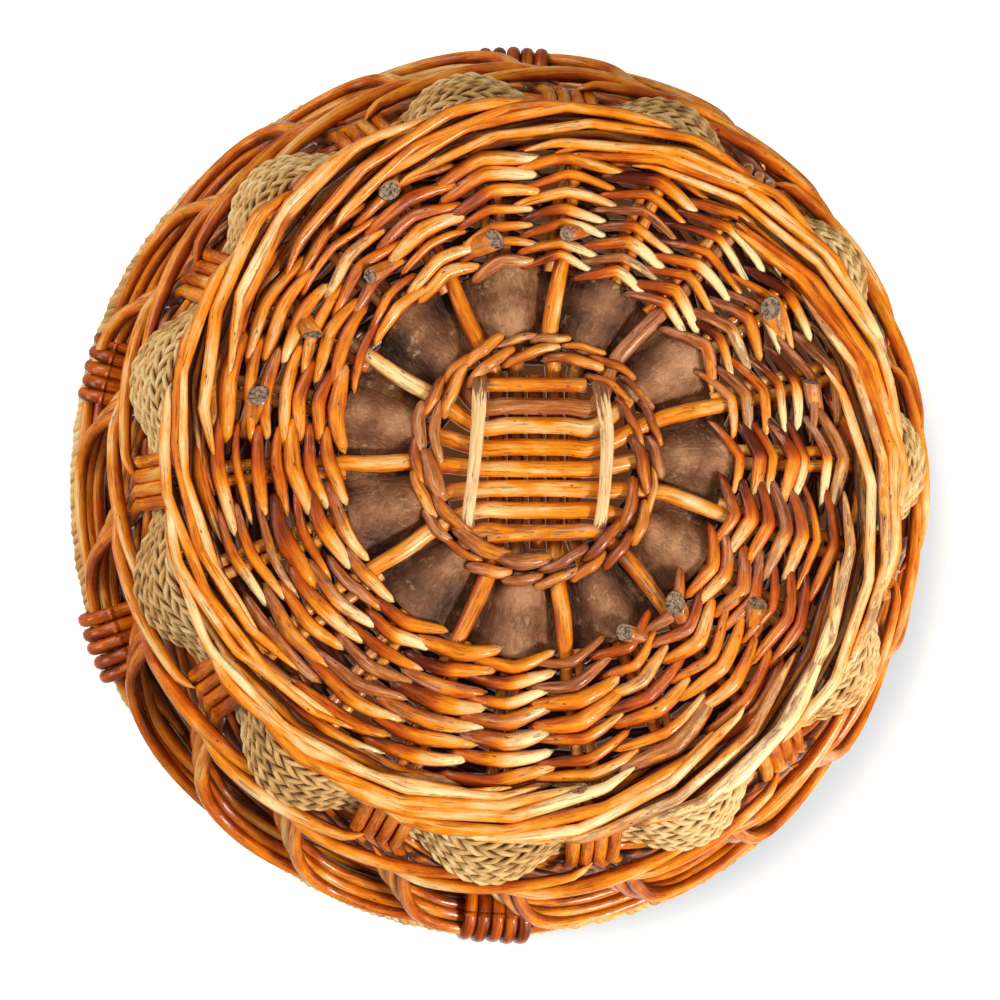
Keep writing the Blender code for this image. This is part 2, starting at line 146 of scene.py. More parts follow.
class Recipe:
    """One material's node tree, written as expressions."""

    def __init__(self, name: str) -> None:
        """Start an empty material with one Principled shader."""
        self.material = bpy.data.materials.new(name)
        self.material.use_nodes = True
        self.tree = self.material.node_tree
        self.shader = next(n for n in self.tree.nodes if n.type == "BSDF_PRINCIPLED")
        self.output = next(n for n in self.tree.nodes if n.type == "OUTPUT_MATERIAL")

    def node(self, kind: str, settings: dict[str, object], inputs: dict) -> bpy.types.Node:
        """Add a node.

        Args:
            kind: type of the node.
            settings: its own settings, set first; "stops" fills a colour ramp.
            inputs: values or flows for its sockets, by name or number.

        Returns:
            The new node.
        """
        node = self.tree.nodes.new(kind)
        for key, value in settings.items():
            if key == "stops":
                ramp = node.color_ramp
                while len(ramp.elements) < len(value):
                    ramp.elements.new(0.5)
                for element, (place, colour) in zip(ramp.elements, value):
                    element.position = place
                    element.color = (*colour, 1.0)
            else:
                setattr(node, key, value)
        self.fill(node, inputs)
        return node

    def fill(self, node: bpy.types.Node, inputs: dict) -> None:
        """Set or link sockets of a node.

        Args:
            node: the node.
            inputs: values or flows, by socket name or number.
        """
        for key, value in inputs.items():
            socket = node.inputs[key]
            if isinstance(value, Flow):
                self.tree.links.new(value.socket, socket)
            elif isinstance(value, tuple) and socket.type == "RGBA":
                socket.default_value = (*value, 1.0)
            else:
                socket.default_value = value

    def attribute(self, name: str) -> Flow:
        """Return a mesh attribute as a vector."""
        node = self.node("ShaderNodeAttribute", {"attribute_name": name}, {})
        return Flow(self, node.outputs["Vector"])

    def split(self, vector: Flow) -> tuple[Flow, Flow, Flow]:
        """Return the three parts of a vector."""
        node = self.node("ShaderNodeSeparateXYZ", {}, {0: vector})
        return Flow(self, node.outputs[0]), Flow(self, node.outputs[1]), Flow(self, node.outputs[2])

    def scaled(self, vector: Flow, scale: Triple) -> Flow:
        """Return a vector stretched along its three directions."""
        node = self.node("ShaderNodeVectorMath", {"operation": "MULTIPLY"}, {0: vector, 1: scale})
        return Flow(self, node.outputs[0])

    def moved(self, vector: Flow, amount: Flow) -> Flow:
        """Return a vector moved by the same amount along its three directions."""
        node = self.node("ShaderNodeVectorMath", {"operation": "ADD"}, {0: vector, 1: amount})
        return Flow(self, node.outputs[0])

    def noise(self, place: Flow, waves: Triple, detail: float, rough: float) -> Flow:
        """Return soft noise from 0 to 1.

        Args:
            place: place on the piece.
            waves: waves per metre along its three directions.
            detail: finer layers.
            rough: strength of the finer layers.

        Returns:
            The noise.
        """
        inputs = {"Vector": self.scaled(place, waves), "Scale": 1.0, "Detail": detail, "Roughness": rough}
        return Flow(self, self.node("ShaderNodeTexNoise", {}, inputs).outputs[0])

    def cells(self, vector: Flow, feature: str = "F1") -> Flow:
        """Return the distance to the nearest cell point or cell edge."""
        node = self.node("ShaderNodeTexVoronoi", {"feature": feature}, {"Vector": vector, "Scale": 1.0})
        return Flow(self, node.outputs["Distance"])

    def ramp(self, value: Flow, stops: list[tuple[float, Colour]]) -> Flow:
        """Return the colour for a value on a row of stops."""
        node = self.node("ShaderNodeValToRGB", {"stops": stops}, {0: value})
        return Flow(self, node.outputs[0])

    def mix(self, share: Flow, first: "Flow | Colour", second: "Flow | Colour") -> Flow:
        """Return a blend of two colours."""
        node = self.node("ShaderNodeMix", {"data_type": "RGBA"}, {0: share, 6: first, 7: second})
        return Flow(self, node.outputs[2])

    def bump(self, height: Flow, strength: float, distance: float) -> Flow:
        """Return the normal that a height gives."""
        inputs = {"Height": height, "Strength": strength, "Distance": distance}
        return Flow(self, self.node("ShaderNodeBump", {}, inputs).outputs[0])

    def finish(self, inputs: dict) -> bpy.types.Material:
        """Set the shader's sockets and return the material."""
        self.fill(self.shader, inputs)
        return self.material


# Finishes


@dataclass(frozen=True)
class Willow:
    """Varnished willow rod: deep brown with painted shade in the weave, golden where the skin is worn, with
    a painted highlight on its outer face.
    """

    name: str
    slot: str
    deep: Colour
    middle: Colour
    gold: Colour
    pale: Colour
    skin: Colour = srgb(158, 92, 52)
    worn: Colour = srgb(222, 164, 128)
    # Colour of the painted shade in the weave, mottled like a stain.
    shade_stain: Colour = srgb(84, 34, 12)
    speck: Colour = srgb(48, 20, 10)
    cut: Colour = srgb(150, 134, 116)
    roughness: float = 0.36
    coat: float = 0.3
    grain: float = 0.6
    streak_waves: Triple = (45.0, 650.0, 650.0)
    blotch_waves: Triple = (42.0, 110.0, 110.0)
    patch_waves: Triple = (85.0, 300.0, 300.0)
    dot_waves: Triple = (190.0, 430.0, 430.0)
    crack_waves: Triple = (60.0, 1500.0, 1500.0)
    ring_waves: Triple = (10.0, 800.0, 800.0)

    def material(self) -> bpy.types.Material:
        """Return the rod's material, which follows each rod along its length."""
        recipe = Recipe(self.name)
        rest = recipe.attribute("rod_rest")
        tone, bark, outward = recipe.split(recipe.attribute("rod_look"))
        painted_shade, cut, gloss = recipe.split(recipe.attribute("rod_wear"))
        streak = recipe.noise(rest, self.streak_waves, 4.0, 0.62)
        blotch = recipe.noise(rest, self.blotch_waves, 3.0, 0.6)
        patch = recipe.noise(rest, self.patch_waves, 5.0, 0.7)
        # Painted highlight on the rod's outer face and painted shade on its far face, through outward.
        level = tone + (blotch - 0.5) * 1.1 + (streak - 0.5) * self.grain + (outward - 0.72) * 0.6
        colour = recipe.ramp(level, [
            (0.0, self.deep), (0.34, self.middle), (0.64, self.gold), (1.0, self.pale)])
        skinned = (bark + (patch - 0.5) * 1.5 + (streak - 0.5) * 0.5).step(0.4, 0.58)
        skin = recipe.ramp(streak * 0.6 + patch * 0.4, [
            (0.38, darker(self.skin, 0.25)), (0.5, self.skin), (0.62, self.worn)])
        colour = recipe.mix(skinned * 0.74, colour, skin)
        dots = recipe.cells(recipe.scaled(rest, self.dot_waves))
        specks = (1.0 - dots.step(0.1, 0.22)) * patch.step(0.53, 0.6)
        # Painted shade on the rod's sides and underside, in its hollows and where soil asks for it, mottled
        # by noise like a stain.
        painted_shade_mask = painted_shade + (0.68 - outward) * 1.5 + (0.44 - streak) * 1.1 + (patch - 0.5) * 0.5
        painted_shade_mask = painted_shade_mask.step(0.1, 0.9)
        lines = recipe.noise(rest, self.crack_waves, 3.0, 0.6)
        cracks = (0.45 - lines).step(0.0, 0.08) * patch.step(0.44, 0.54)
        marks = specks * 0.85 + cracks * 0.5 * (1.0 - specks)
        colour = recipe.mix(marks, colour, self.speck)
        colour = recipe.mix(painted_shade_mask * 0.94, colour, self.shade_stain)
        rings = recipe.noise(rest, self.ring_waves, 5.0, 0.75)
        face = recipe.ramp(rings, [
            (0.4, darker(self.cut, 0.1)), (0.52, self.cut), (0.64, self.worn)])
        colour = recipe.mix(cut, colour, face)
        height = streak * 0.6 + patch * 0.7 - marks * 0.5
        matt = self.roughness + (streak - 0.5) * 0.5 + skinned * 0.06 + cut * 0.3 - gloss * 0.1
        return recipe.finish({
            "Base Color": colour,
            "Roughness": matt,
            "Coat Weight": self.coat * (1.0 - skinned * 0.25) * (1.0 - cut),
            "Coat Roughness": 0.12,
            "Specular IOR Level": 0.3,
            "Normal": recipe.bump(height, 0.85, 0.7 * MM),
        })


@dataclass(frozen=True)
class Splint:
    """Flat peeled splint, cream with flecks of brown skin left along it and at its ends."""

    name: str = "peeled_splint"
    slot: str = "peeled_splint"
    wood: Colour = srgb(246, 222, 172)
    dark: Colour = srgb(216, 160, 92)
    skin: Colour = srgb(146, 88, 52)
    grain_waves: Triple = (70.0, 1500.0, 1500.0)
    patch_waves: Triple = (70.0, 520.0, 520.0)

    def material(self) -> bpy.types.Material:
        """Return the splint's material."""
        recipe = Recipe(self.name)
        rest = recipe.attribute("rod_rest")
        _, bark, _ = recipe.split(recipe.attribute("rod_look"))
        grain = recipe.noise(rest, self.grain_waves, 4.0, 0.6)
        patch = recipe.noise(rest, self.patch_waves, 5.0, 0.7)
        flecks = (bark + (patch - 0.5) * 2.2).step(0.42, 0.6)
        colour = recipe.ramp(grain, [(0.3, self.dark), (0.62, self.wood)])
        shade = recipe.ramp(grain, [(0.35, darker(self.skin, 0.4)), (0.55, self.skin)])
        colour = recipe.mix(flecks, colour, shade)
        return recipe.finish({
            "Base Color": colour,
            "Roughness": 0.5 + flecks * 0.2,
            "Normal": recipe.bump(grain * 0.5 + flecks * 0.5, 0.5, 0.4 * MM),
        })


@dataclass(frozen=True)
class BarkStrip:
    """Broad strip of dark bark, scuffed pale in places, with fine cracks across it."""

    name: str = "bark"
    slot: str = "bark"
    dark: Colour = srgb(50, 26, 12)
    middle: Colour = srgb(130, 80, 46)
    light: Colour = srgb(198, 144, 102)
    scuff: Colour = srgb(240, 196, 144)
    grain_waves: Triple = (420.0, 120.0, 160.0)
    broad_waves: Triple = (40.0, 60.0, 30.0)
    patch_waves: Triple = (90.0, 110.0, 60.0)
    fine_waves: Triple = (1000.0, 800.0, 500.0)
    crease_waves: Triple = (300.0, 170.0, 160.0)

    def material(self) -> bpy.types.Material:
        """Return the bark's material."""
        recipe = Recipe(self.name)
        rest = recipe.attribute("rod_rest")
        tone, _, outward = recipe.split(recipe.attribute("rod_look"))
        grain = recipe.noise(rest, self.grain_waves, 6.0, 0.72)
        broad = recipe.noise(rest, self.broad_waves, 3.0, 0.5)
        patch = recipe.noise(rest, self.patch_waves, 8.0, 0.72)
        fine = recipe.noise(rest, self.fine_waves, 4.0, 0.7)
        level = tone + (broad - 0.5) * 1.3 + (grain - 0.5) * 0.35 + (fine - 0.5) * 0.4
        colour = recipe.ramp(level, [(0.1, self.dark), (0.45, self.middle), (0.85, self.light)])
        worn = (patch + (grain - 0.5) * 0.3).step(0.56, 0.68)
        colour = recipe.mix(worn * (0.1 + grain * 0.7), colour, self.scuff)
        warped = recipe.moved(recipe.scaled(rest, self.crease_waves), grain * 1.6)
        edges = recipe.cells(warped, "DISTANCE_TO_EDGE")
        creases = (1.0 - edges.step(0.0, 0.07)) * patch.step(0.42, 0.56)
        colour = recipe.mix(creases * 0.55, colour, darker(self.dark, 0.5))
        height = grain * 0.3 + patch * 1.1 + fine * 0.35 + edges.step(0.0, 0.3) * 0.35 + worn * 0.3
        return recipe.finish({
            "Base Color": colour,
            "Roughness": 0.34 + grain * 0.3 - outward * 0.05,
            "Normal": recipe.bump(height, 0.75, 1.1 * MM),
        })


@dataclass(frozen=True)
class Seagrass:
    """Twisted seagrass cord: dry khaki fibres, with painted shade between the turns and a painted highlight
    on their outer faces.
    """

    name: str = "seagrass"
    slot: str = "seagrass"
    shade: Colour = srgb(80, 46, 14)
    green: Colour = srgb(190, 140, 78)
    straw: Colour = srgb(240, 196, 126)
    pale: Colour = srgb(255, 232, 180)
    fibre_waves: Triple = (90.0, 2600.0, 2600.0)
    blotch_waves: Triple = (60.0, 90.0, 90.0)

    def material(self) -> bpy.types.Material:
        """Return the cord's material, its fibres along each strand."""
        recipe = Recipe(self.name)
        rest = recipe.attribute("rod_rest")
        tone, _, outward = recipe.split(recipe.attribute("rod_look"))
        painted_shade, _, _ = recipe.split(recipe.attribute("rod_wear"))
        fibre = recipe.noise(rest, self.fibre_waves, 4.0, 0.65)
        blotch = recipe.noise(rest, self.blotch_waves, 3.0, 0.6)
        # Painted highlight on the strand's outer face.
        level = tone + (fibre - 0.5) * 0.9 + (blotch - 0.5) * 0.6 + (outward - 0.6) * 0.5
        colour = recipe.ramp(level, [
            (0.05, self.shade), (0.4, self.green), (0.68, self.straw), (1.0, self.pale)])
        # Painted shade on the strand's inner face and in the cord's hollows.
        painted_shade_mask = (painted_shade + (0.52 - outward) * 1.6).step(0.1, 0.9)
        colour = recipe.mix(painted_shade_mask * 0.85, colour, darker(self.shade, 0.45))
        return recipe.finish({
            "Base Color": colour,
            "Roughness": 0.62 + fibre * 0.2,
            "Normal": recipe.bump(fibre, 0.8, 0.6 * MM),
        })


Finish = Willow | Splint | BarkStrip | Seagrass

ORANGE_WILLOW = Willow(
    "varnished_willow", "willow", srgb(92, 28, 6), srgb(196, 84, 8), srgb(248, 152, 26), srgb(255, 234, 176))
STAINED_WILLOW = Willow(
    "stained_willow", "stained_willow", srgb(78, 22, 2), srgb(194, 82, 2), srgb(246, 144, 16),
    srgb(255, 216, 130), roughness=0.32)
BROWN_WILLOW = Willow(
    "brown_willow", "brown_willow", srgb(80, 26, 8), srgb(172, 80, 22), srgb(232, 142, 40),
    srgb(255, 220, 150), roughness=0.38)


# Rods


class End(Enum):
    """How a rod ends."""

    CUT = "cut"
    POINT = "point"
    PLAIN = "plain"


@dataclass(frozen=True)
class Look:
    """What a rod shows along its length: numbers, or one number for each of its rings."""

    # tone is the rod's own tone, with painted light added to it in some pieces.
    tone: float | np.ndarray = 0.5
    bark: float | np.ndarray = 0.1
    # soil is painted shade: darker where a rod goes under or lies behind others, or on a side turned from
    # the light.
    painted_shade: float | np.ndarray = 0.1
    gloss: float = 0.5


@dataclass
class StraightRod:
    """A straight rod of unit length and radius, kept as numbers."""

    ring: np.ndarray
    side: np.ndarray
    loops: np.ndarray
    totals: np.ndarray


@dataclass
class RodStock:
    """Straight rods, each modelled once with Blender's tools and then bent as often as needed."""

    kept: dict[tuple[int, int], StraightRod] = field(default_factory=dict)

    def straight(self, sides: int, rings: int) -> StraightRod:
        """Return a straight rod.

        Args:
            sides: faces round it.
            rings: rings of points along it.

        Returns:
            The rod, from the stock where it was made before.
        """
        key = (sides, rings)
        if key not in self.kept:
            self.kept[key] = self.model(sides, rings)
        return self.kept[key]

    def model(self, sides: int, rings: int) -> StraightRod:
        """Model a straight rod: a cylinder whose long edges are cut into rings.

        Args:
            sides: faces round it.
            rings: rings of points along it.

        Returns:
            The rod as numbers.
        """
        bpy.ops.object.select_all(action="DESELECT")
        bpy.ops.mesh.primitive_cylinder_add(vertices=sides, radius=1.0, depth=1.0, end_fill_type="NGON")
        rod = bpy.context.object
        spans = rings - 1
        if spans > SPANS_AT_ONCE:
            self._cut_spans(rod, SPANS_AT_ONCE - 1)
            spans //= SPANS_AT_ONCE
        self._cut_spans(rod, spans - 1)
        mesh = rod.data
        places = np.zeros(len(mesh.vertices) * 3)
        mesh.vertices.foreach_get("co", places)
        places = places.reshape(-1, 3)
        ring = np.zeros(len(places), int)
        ring[np.argsort(places[:, 2], kind="stable")] = np.arange(len(places)) // sides
        loops = np.zeros(len(mesh.loops), int)
        mesh.loops.foreach_get("vertex_index", loops)
        totals = np.zeros(len(mesh.polygons), int)
        mesh.polygons.foreach_get("loop_total", totals)
        straight = StraightRod(ring, places[:, :2].copy(), loops, totals)
        bpy.data.objects.remove(rod)
        return straight

    def _cut_spans(self, rod: bpy.types.Object, cuts: int) -> None:
        """Cut each span of the rod into more rings.

        Args:
            rod: the rod.
            cuts: rings to add in each span.
        """
        if cuts < 1:
            return
        mesh = rod.data
        bpy.ops.object.mode_set(mode="EDIT")
        bpy.ops.mesh.select_mode(type="EDGE")
        bpy.ops.mesh.select_all(action="DESELECT")
        bpy.ops.object.mode_set(mode="OBJECT")
        for edge in mesh.edges:
            low, high = sorted(mesh.vertices[i].co.z for i in edge.vertices)
            edge.select = high - low > 1e-4
        bpy.ops.object.mode_set(mode="EDIT")
        bpy.ops.mesh.subdivide(number_cuts=cuts)
        bpy.ops.object.mode_set(mode="OBJECT")


STOCK = RodStock()
SHUFFLE = np.random.default_rng(22)


def stretch(row: np.ndarray, rings: int) -> np.ndarray:
    """Give a row of numbers or places another number of rings.

    Args:
        row: numbers or places, one for each ring.
        rings: how many to return.

    Returns:
        The row, evenly stepped between its old rings.
    """
    row = np.asarray(row, float)
    place = np.linspace(0, len(row) - 1, rings)
    if row.ndim == 1:
        return np.interp(place, np.arange(len(row)), row)
    return np.stack([np.interp(place, np.arange(len(row)), part) for part in row.T], axis=1)


def smooth_path(points: list, rings: int) -> np.ndarray:
    """Lay a smooth curve through a few places.

    Args:
        points: places or numbers, in order.
        rings: how many places to return.

    Returns:
        Evenly stepped places on the curve.
    """
    knots = np.asarray(points, float)
    knots = np.concatenate([2 * knots[:1] - knots[1:2], knots, 2 * knots[-1:] - knots[-2:-1]])
    place = np.linspace(0, len(points) - 1, rings)
    index = np.minimum(place.astype(int), len(points) - 2)
    share = place - index
    if knots.ndim > 1:
        share = share[:, None]
    before, start, stop, after = (knots[index + step] for step in range(4))
    return 0.5 * (2 * start + (stop - before) * share
                  + (2 * before - 5 * start + 4 * stop - after) * share ** 2
                  + (3 * start - before - 3 * stop + after) * share ** 3)


def end_profile(along: np.ndarray, first: End, last: End, taper: float) -> np.ndarray:
    """Thickness along a rod, drawn in where it ends in a point.

    Args:
        along: metres along the rod, from zero.
        first: the end at the start.
        last: the end at the stop.
        taper: length of a point.

    Returns:
        Shares of the full radius.
    """
    share = np.ones_like(along)
    for kind, far in ((first, along), (last, along[-1] - along)):
        if kind is End.POINT:
            share *= 0.22 + 0.78 * np.clip(far / taper, 0, 1) ** 0.6
    return share


@dataclass
class Bundle:
    """Rods bent to their places and joined as one piece."""

    name: str
    vertices: list[np.ndarray] = field(default_factory=list)
    rest: list[np.ndarray] = field(default_factory=list)
    look: list[np.ndarray] = field(default_factory=list)
    shade_cut_gloss: list[np.ndarray] = field(default_factory=list)
    loops: list[np.ndarray] = field(default_factory=list)
    totals: list[np.ndarray] = field(default_factory=list)
    count: int = 0

    def add(self, path: np.ndarray, radius: float | np.ndarray, out: np.ndarray, look: Look,
            sides: int = 8, ends: tuple[End, End] = (End.PLAIN, End.PLAIN), flat: float = 1.0,
            taper: float = 12 * MM, square: float = 1.0, slant: float = 0.0) -> None:
        """Bend a straight rod along a path.

        Args:
            path: places of its rings.
            radius: its radius, or one for each ring.
            out: direction of the rod's outer face, where the materials paint a highlight and away from which
                they paint shade, or one for each ring.
            look: tone, bark, soil and gloss.
            sides: faces round it.
            ends: how it starts and stops.
            flat: its thickness as a share of its width.
            taper: length of a pointed end.
            square: 1 for a round section, less for one with flat faces and small corners.
            slant: how far its first end is cut aslant, 1 for half a right angle.
        """
        path = np.asarray(path, float)
        radius = np.broadcast_to(np.asarray(radius, float), len(path)).copy()
        out = np.broadcast_to(np.asarray(out, float), path.shape)
        tone, bark, painted_shade = (np.broadcast_to(np.asarray(v, float), len(path)).copy()
                            for v in (look.tone, look.bark, look.painted_shade))
        if len(path) - 1 > SPANS_AT_ONCE:
            rings = math.ceil((len(path) - 1) / SPANS_AT_ONCE) * SPANS_AT_ONCE + 1
            path, radius, out, tone, bark, painted_shade = (
                stretch(row, rings) for row in (path, radius, out, tone, bark, painted_shade))
        cut = np.zeros(len(path))
        for kind, at in ((ends[0], 0), (ends[1], len(path) - 1)):
            if kind is End.CUT:
                near = at + (1 if at == 0 else -1)
                path = path.copy()
                outward_step = path[at] - path[near]
                outward_step /= np.linalg.norm(outward_step) + 1e-12
                path[near] = path[at] - outward_step * 0.15 * MM
                radius[at] *= 0.86
                cut[at] = 1.0
        steps = np.linalg.norm(np.diff(path, axis=0), axis=1)
        along = np.concatenate([[0.0], np.cumsum(steps)])
        radius *= end_profile(along, ends[0], ends[1], taper)
        tangent = np.gradient(path, axis=0)
        tangent /= np.linalg.norm(tangent, axis=1)[:, None] + 1e-12
        across = np.cross(out, tangent)
        across /= np.linalg.norm(across, axis=1)[:, None] + 1e-12
        face = np.cross(tangent, across)
        rod = STOCK.straight(sides, len(path))
        ring, side = rod.ring, np.sign(rod.side) * np.abs(rod.side) ** square
        wide = side[:, 0] * radius[ring]
        deep = side[:, 1] * radius[ring] * flat
        aslant = tangent[ring] * (slant * (wide - deep) * (ring < 2))[:, None]
        flesh = path[ring] + across[ring] * wide[:, None] + face[ring] * deep[:, None]
        self.vertices.append(flesh + aslant)
        shift = SHUFFLE.uniform(0, 30)
        self.rest.append(np.stack([along[ring] + shift, wide, deep], axis=1))
        # outward is 1 on the face toward out, where the materials paint a highlight, and 0 on the far face,
        # where they paint shade.
        outward = 0.5 + 0.5 * side[:, 1]
        self.look.append(np.stack([tone[ring], bark[ring], outward], axis=1))
        gloss = np.full(len(ring), look.gloss)
        self.shade_cut_gloss.append(np.stack([painted_shade[ring], cut[ring], gloss], axis=1))
        self.loops.append(rod.loops + self.count)
        self.totals.append(rod.totals)
        self.count += len(ring)

    def piece(self, finish: Finish, nodes: list[str]) -> bpy.types.Object:
        """Join the rods as one piece of the basket.

        Args:
            finish: its material.
            nodes: CAD nodes that the piece stands for.

        Returns:
            The piece.
        """
        mesh = bpy.data.meshes.new(self.name)
        vertices = np.concatenate(self.vertices)
        loops = np.concatenate(self.loops)
        totals = np.concatenate(self.totals)
        mesh.vertices.add(len(vertices))
        mesh.vertices.foreach_set("co", vertices.ravel())
        mesh.loops.add(len(loops))
        mesh.loops.foreach_set("vertex_index", loops)
        mesh.polygons.add(len(totals))
        mesh.polygons.foreach_set("loop_start", np.concatenate([[0], np.cumsum(totals)[:-1]]))
        mesh.polygons.foreach_set("loop_total", totals)
        mesh.polygons.foreach_set("use_smooth", totals == 4)
        mesh.update(calc_edges=True)
        for name, parts in (("rod_rest", self.rest), ("rod_look", self.look), ("rod_wear", self.shade_cut_gloss)):
            layer = mesh.attributes.new(name, "FLOAT_VECTOR", "POINT")
            layer.data.foreach_set("vector", np.concatenate(parts).ravel())
        mesh.materials.append(finish.material())
        mesh.validate()
        piece = bpy.data.objects.new(self.name, mesh)
        bpy.context.scene.collection.objects.link(piece)
        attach(piece, "root")
        if nodes:
            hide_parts(*nodes)
        LOG.info("%s: %d rods, %d triangles", self.name, len(self.totals), int((totals - 2).sum()))
        return piece


# The basket's plan


@dataclass(frozen=True)
class Plan:
    """Sizes, levels and turns that the parts of the basket share.

    They are the CAD's, but for the last three, which make the rim a little oval and pushed in and set
    the middle of the base off the axis.
    """

    spokes: int = 22
    first_turn: float = math.radians(-1.7)
    base_level: float = 13.6 * MM
    base_radius: float = 140.1 * MM
    base_dome: float = 6 * MM
    wall_foot_radius: float = 143 * MM
    wall_flare: float = 34 * MM
    wall_power: float = 1.6
    wall_foot: float = 10.3 * MM
    wall_height: float = 121 * MM
    oval: tuple[float, float] = (-0.033, 0.0065)
    pushed_in: tuple[float, float] = (0.017, 0.0115)
    off_middle: tuple[float, float] = (1.5 * MM, -5.0 * MM)

    @property
    def pitch(self) -> float:
        """Turn from one spoke to the next."""
        return 2 * math.pi / self.spokes

    def turn(self, spoke: float) -> float:
        """Turn of a spoke, or of a place between two."""
        return self.first_turn + spoke * self.pitch

    def place(self, radius: np.ndarray, turn: np.ndarray, height: np.ndarray) -> np.ndarray:
        """Turn radius, turn and height into places on the slightly oval wall.

        Args:
            radius: distance from the axis.
            turn: angle round the axis.
            height: height over the ground.

        Returns:
            The places.
        """
        radius, turn, height = np.broadcast_arrays(radius, turn, height)
        grown = rising(height, self.wall_foot, self.wall_height)
        x = radius * np.cos(turn) * (1 + (self.oval[0] - self.pushed_in[0] * np.cos(turn)) * grown)
        y = radius * np.sin(turn) * (1 + (self.oval[1] + self.pushed_in[1] * np.sin(turn)) * grown)
        return np.stack([x, y, height], axis=-1)

    def on_base(self, radius: np.ndarray, turn: np.ndarray, drop: np.ndarray) -> np.ndarray:
        """Find places below the middle level of the domed base.

        Args:
            radius: distance from the axis.
            turn: angle round the axis.
            drop: how far below the middle level.

        Returns:
            The places.
        """
        share = np.minimum(np.asarray(radius) / self.base_radius, 1.0)
        level = self.base_level + self.base_dome * (1 - share ** 2) ** 2
        places = self.place(radius, turn, level - drop)
        places[..., 0] += self.off_middle[0] * (1 - share ** 2)
        places[..., 1] += self.off_middle[1] * (1 - share ** 2)
        return places

    def under_base(self, rows: np.ndarray) -> np.ndarray:
        """Places on the base, from rows of x, y and drop."""
        radius, turn = np.hypot(rows[:, 0], rows[:, 1]), np.arctan2(rows[:, 1], rows[:, 0])
        return self.on_base(radius, turn, rows[:, 2])

    def wall_radius(self, height: np.ndarray) -> np.ndarray:
        """Radius of the middle of the wall at a height."""
        share = rising(np.asarray(height), self.wall_foot, self.wall_height)
        return self.wall_foot_radius + self.wall_flare * (1 - (1 - share) ** self.wall_power)

    def outward(self, turn: np.ndarray) -> np.ndarray:
        """Level directions away from the axis."""
        turn = np.asarray(turn, float)
        return np.stack([np.cos(turn), np.sin(turn), np.zeros_like(turn)], axis=-1)


PLAN = Plan()


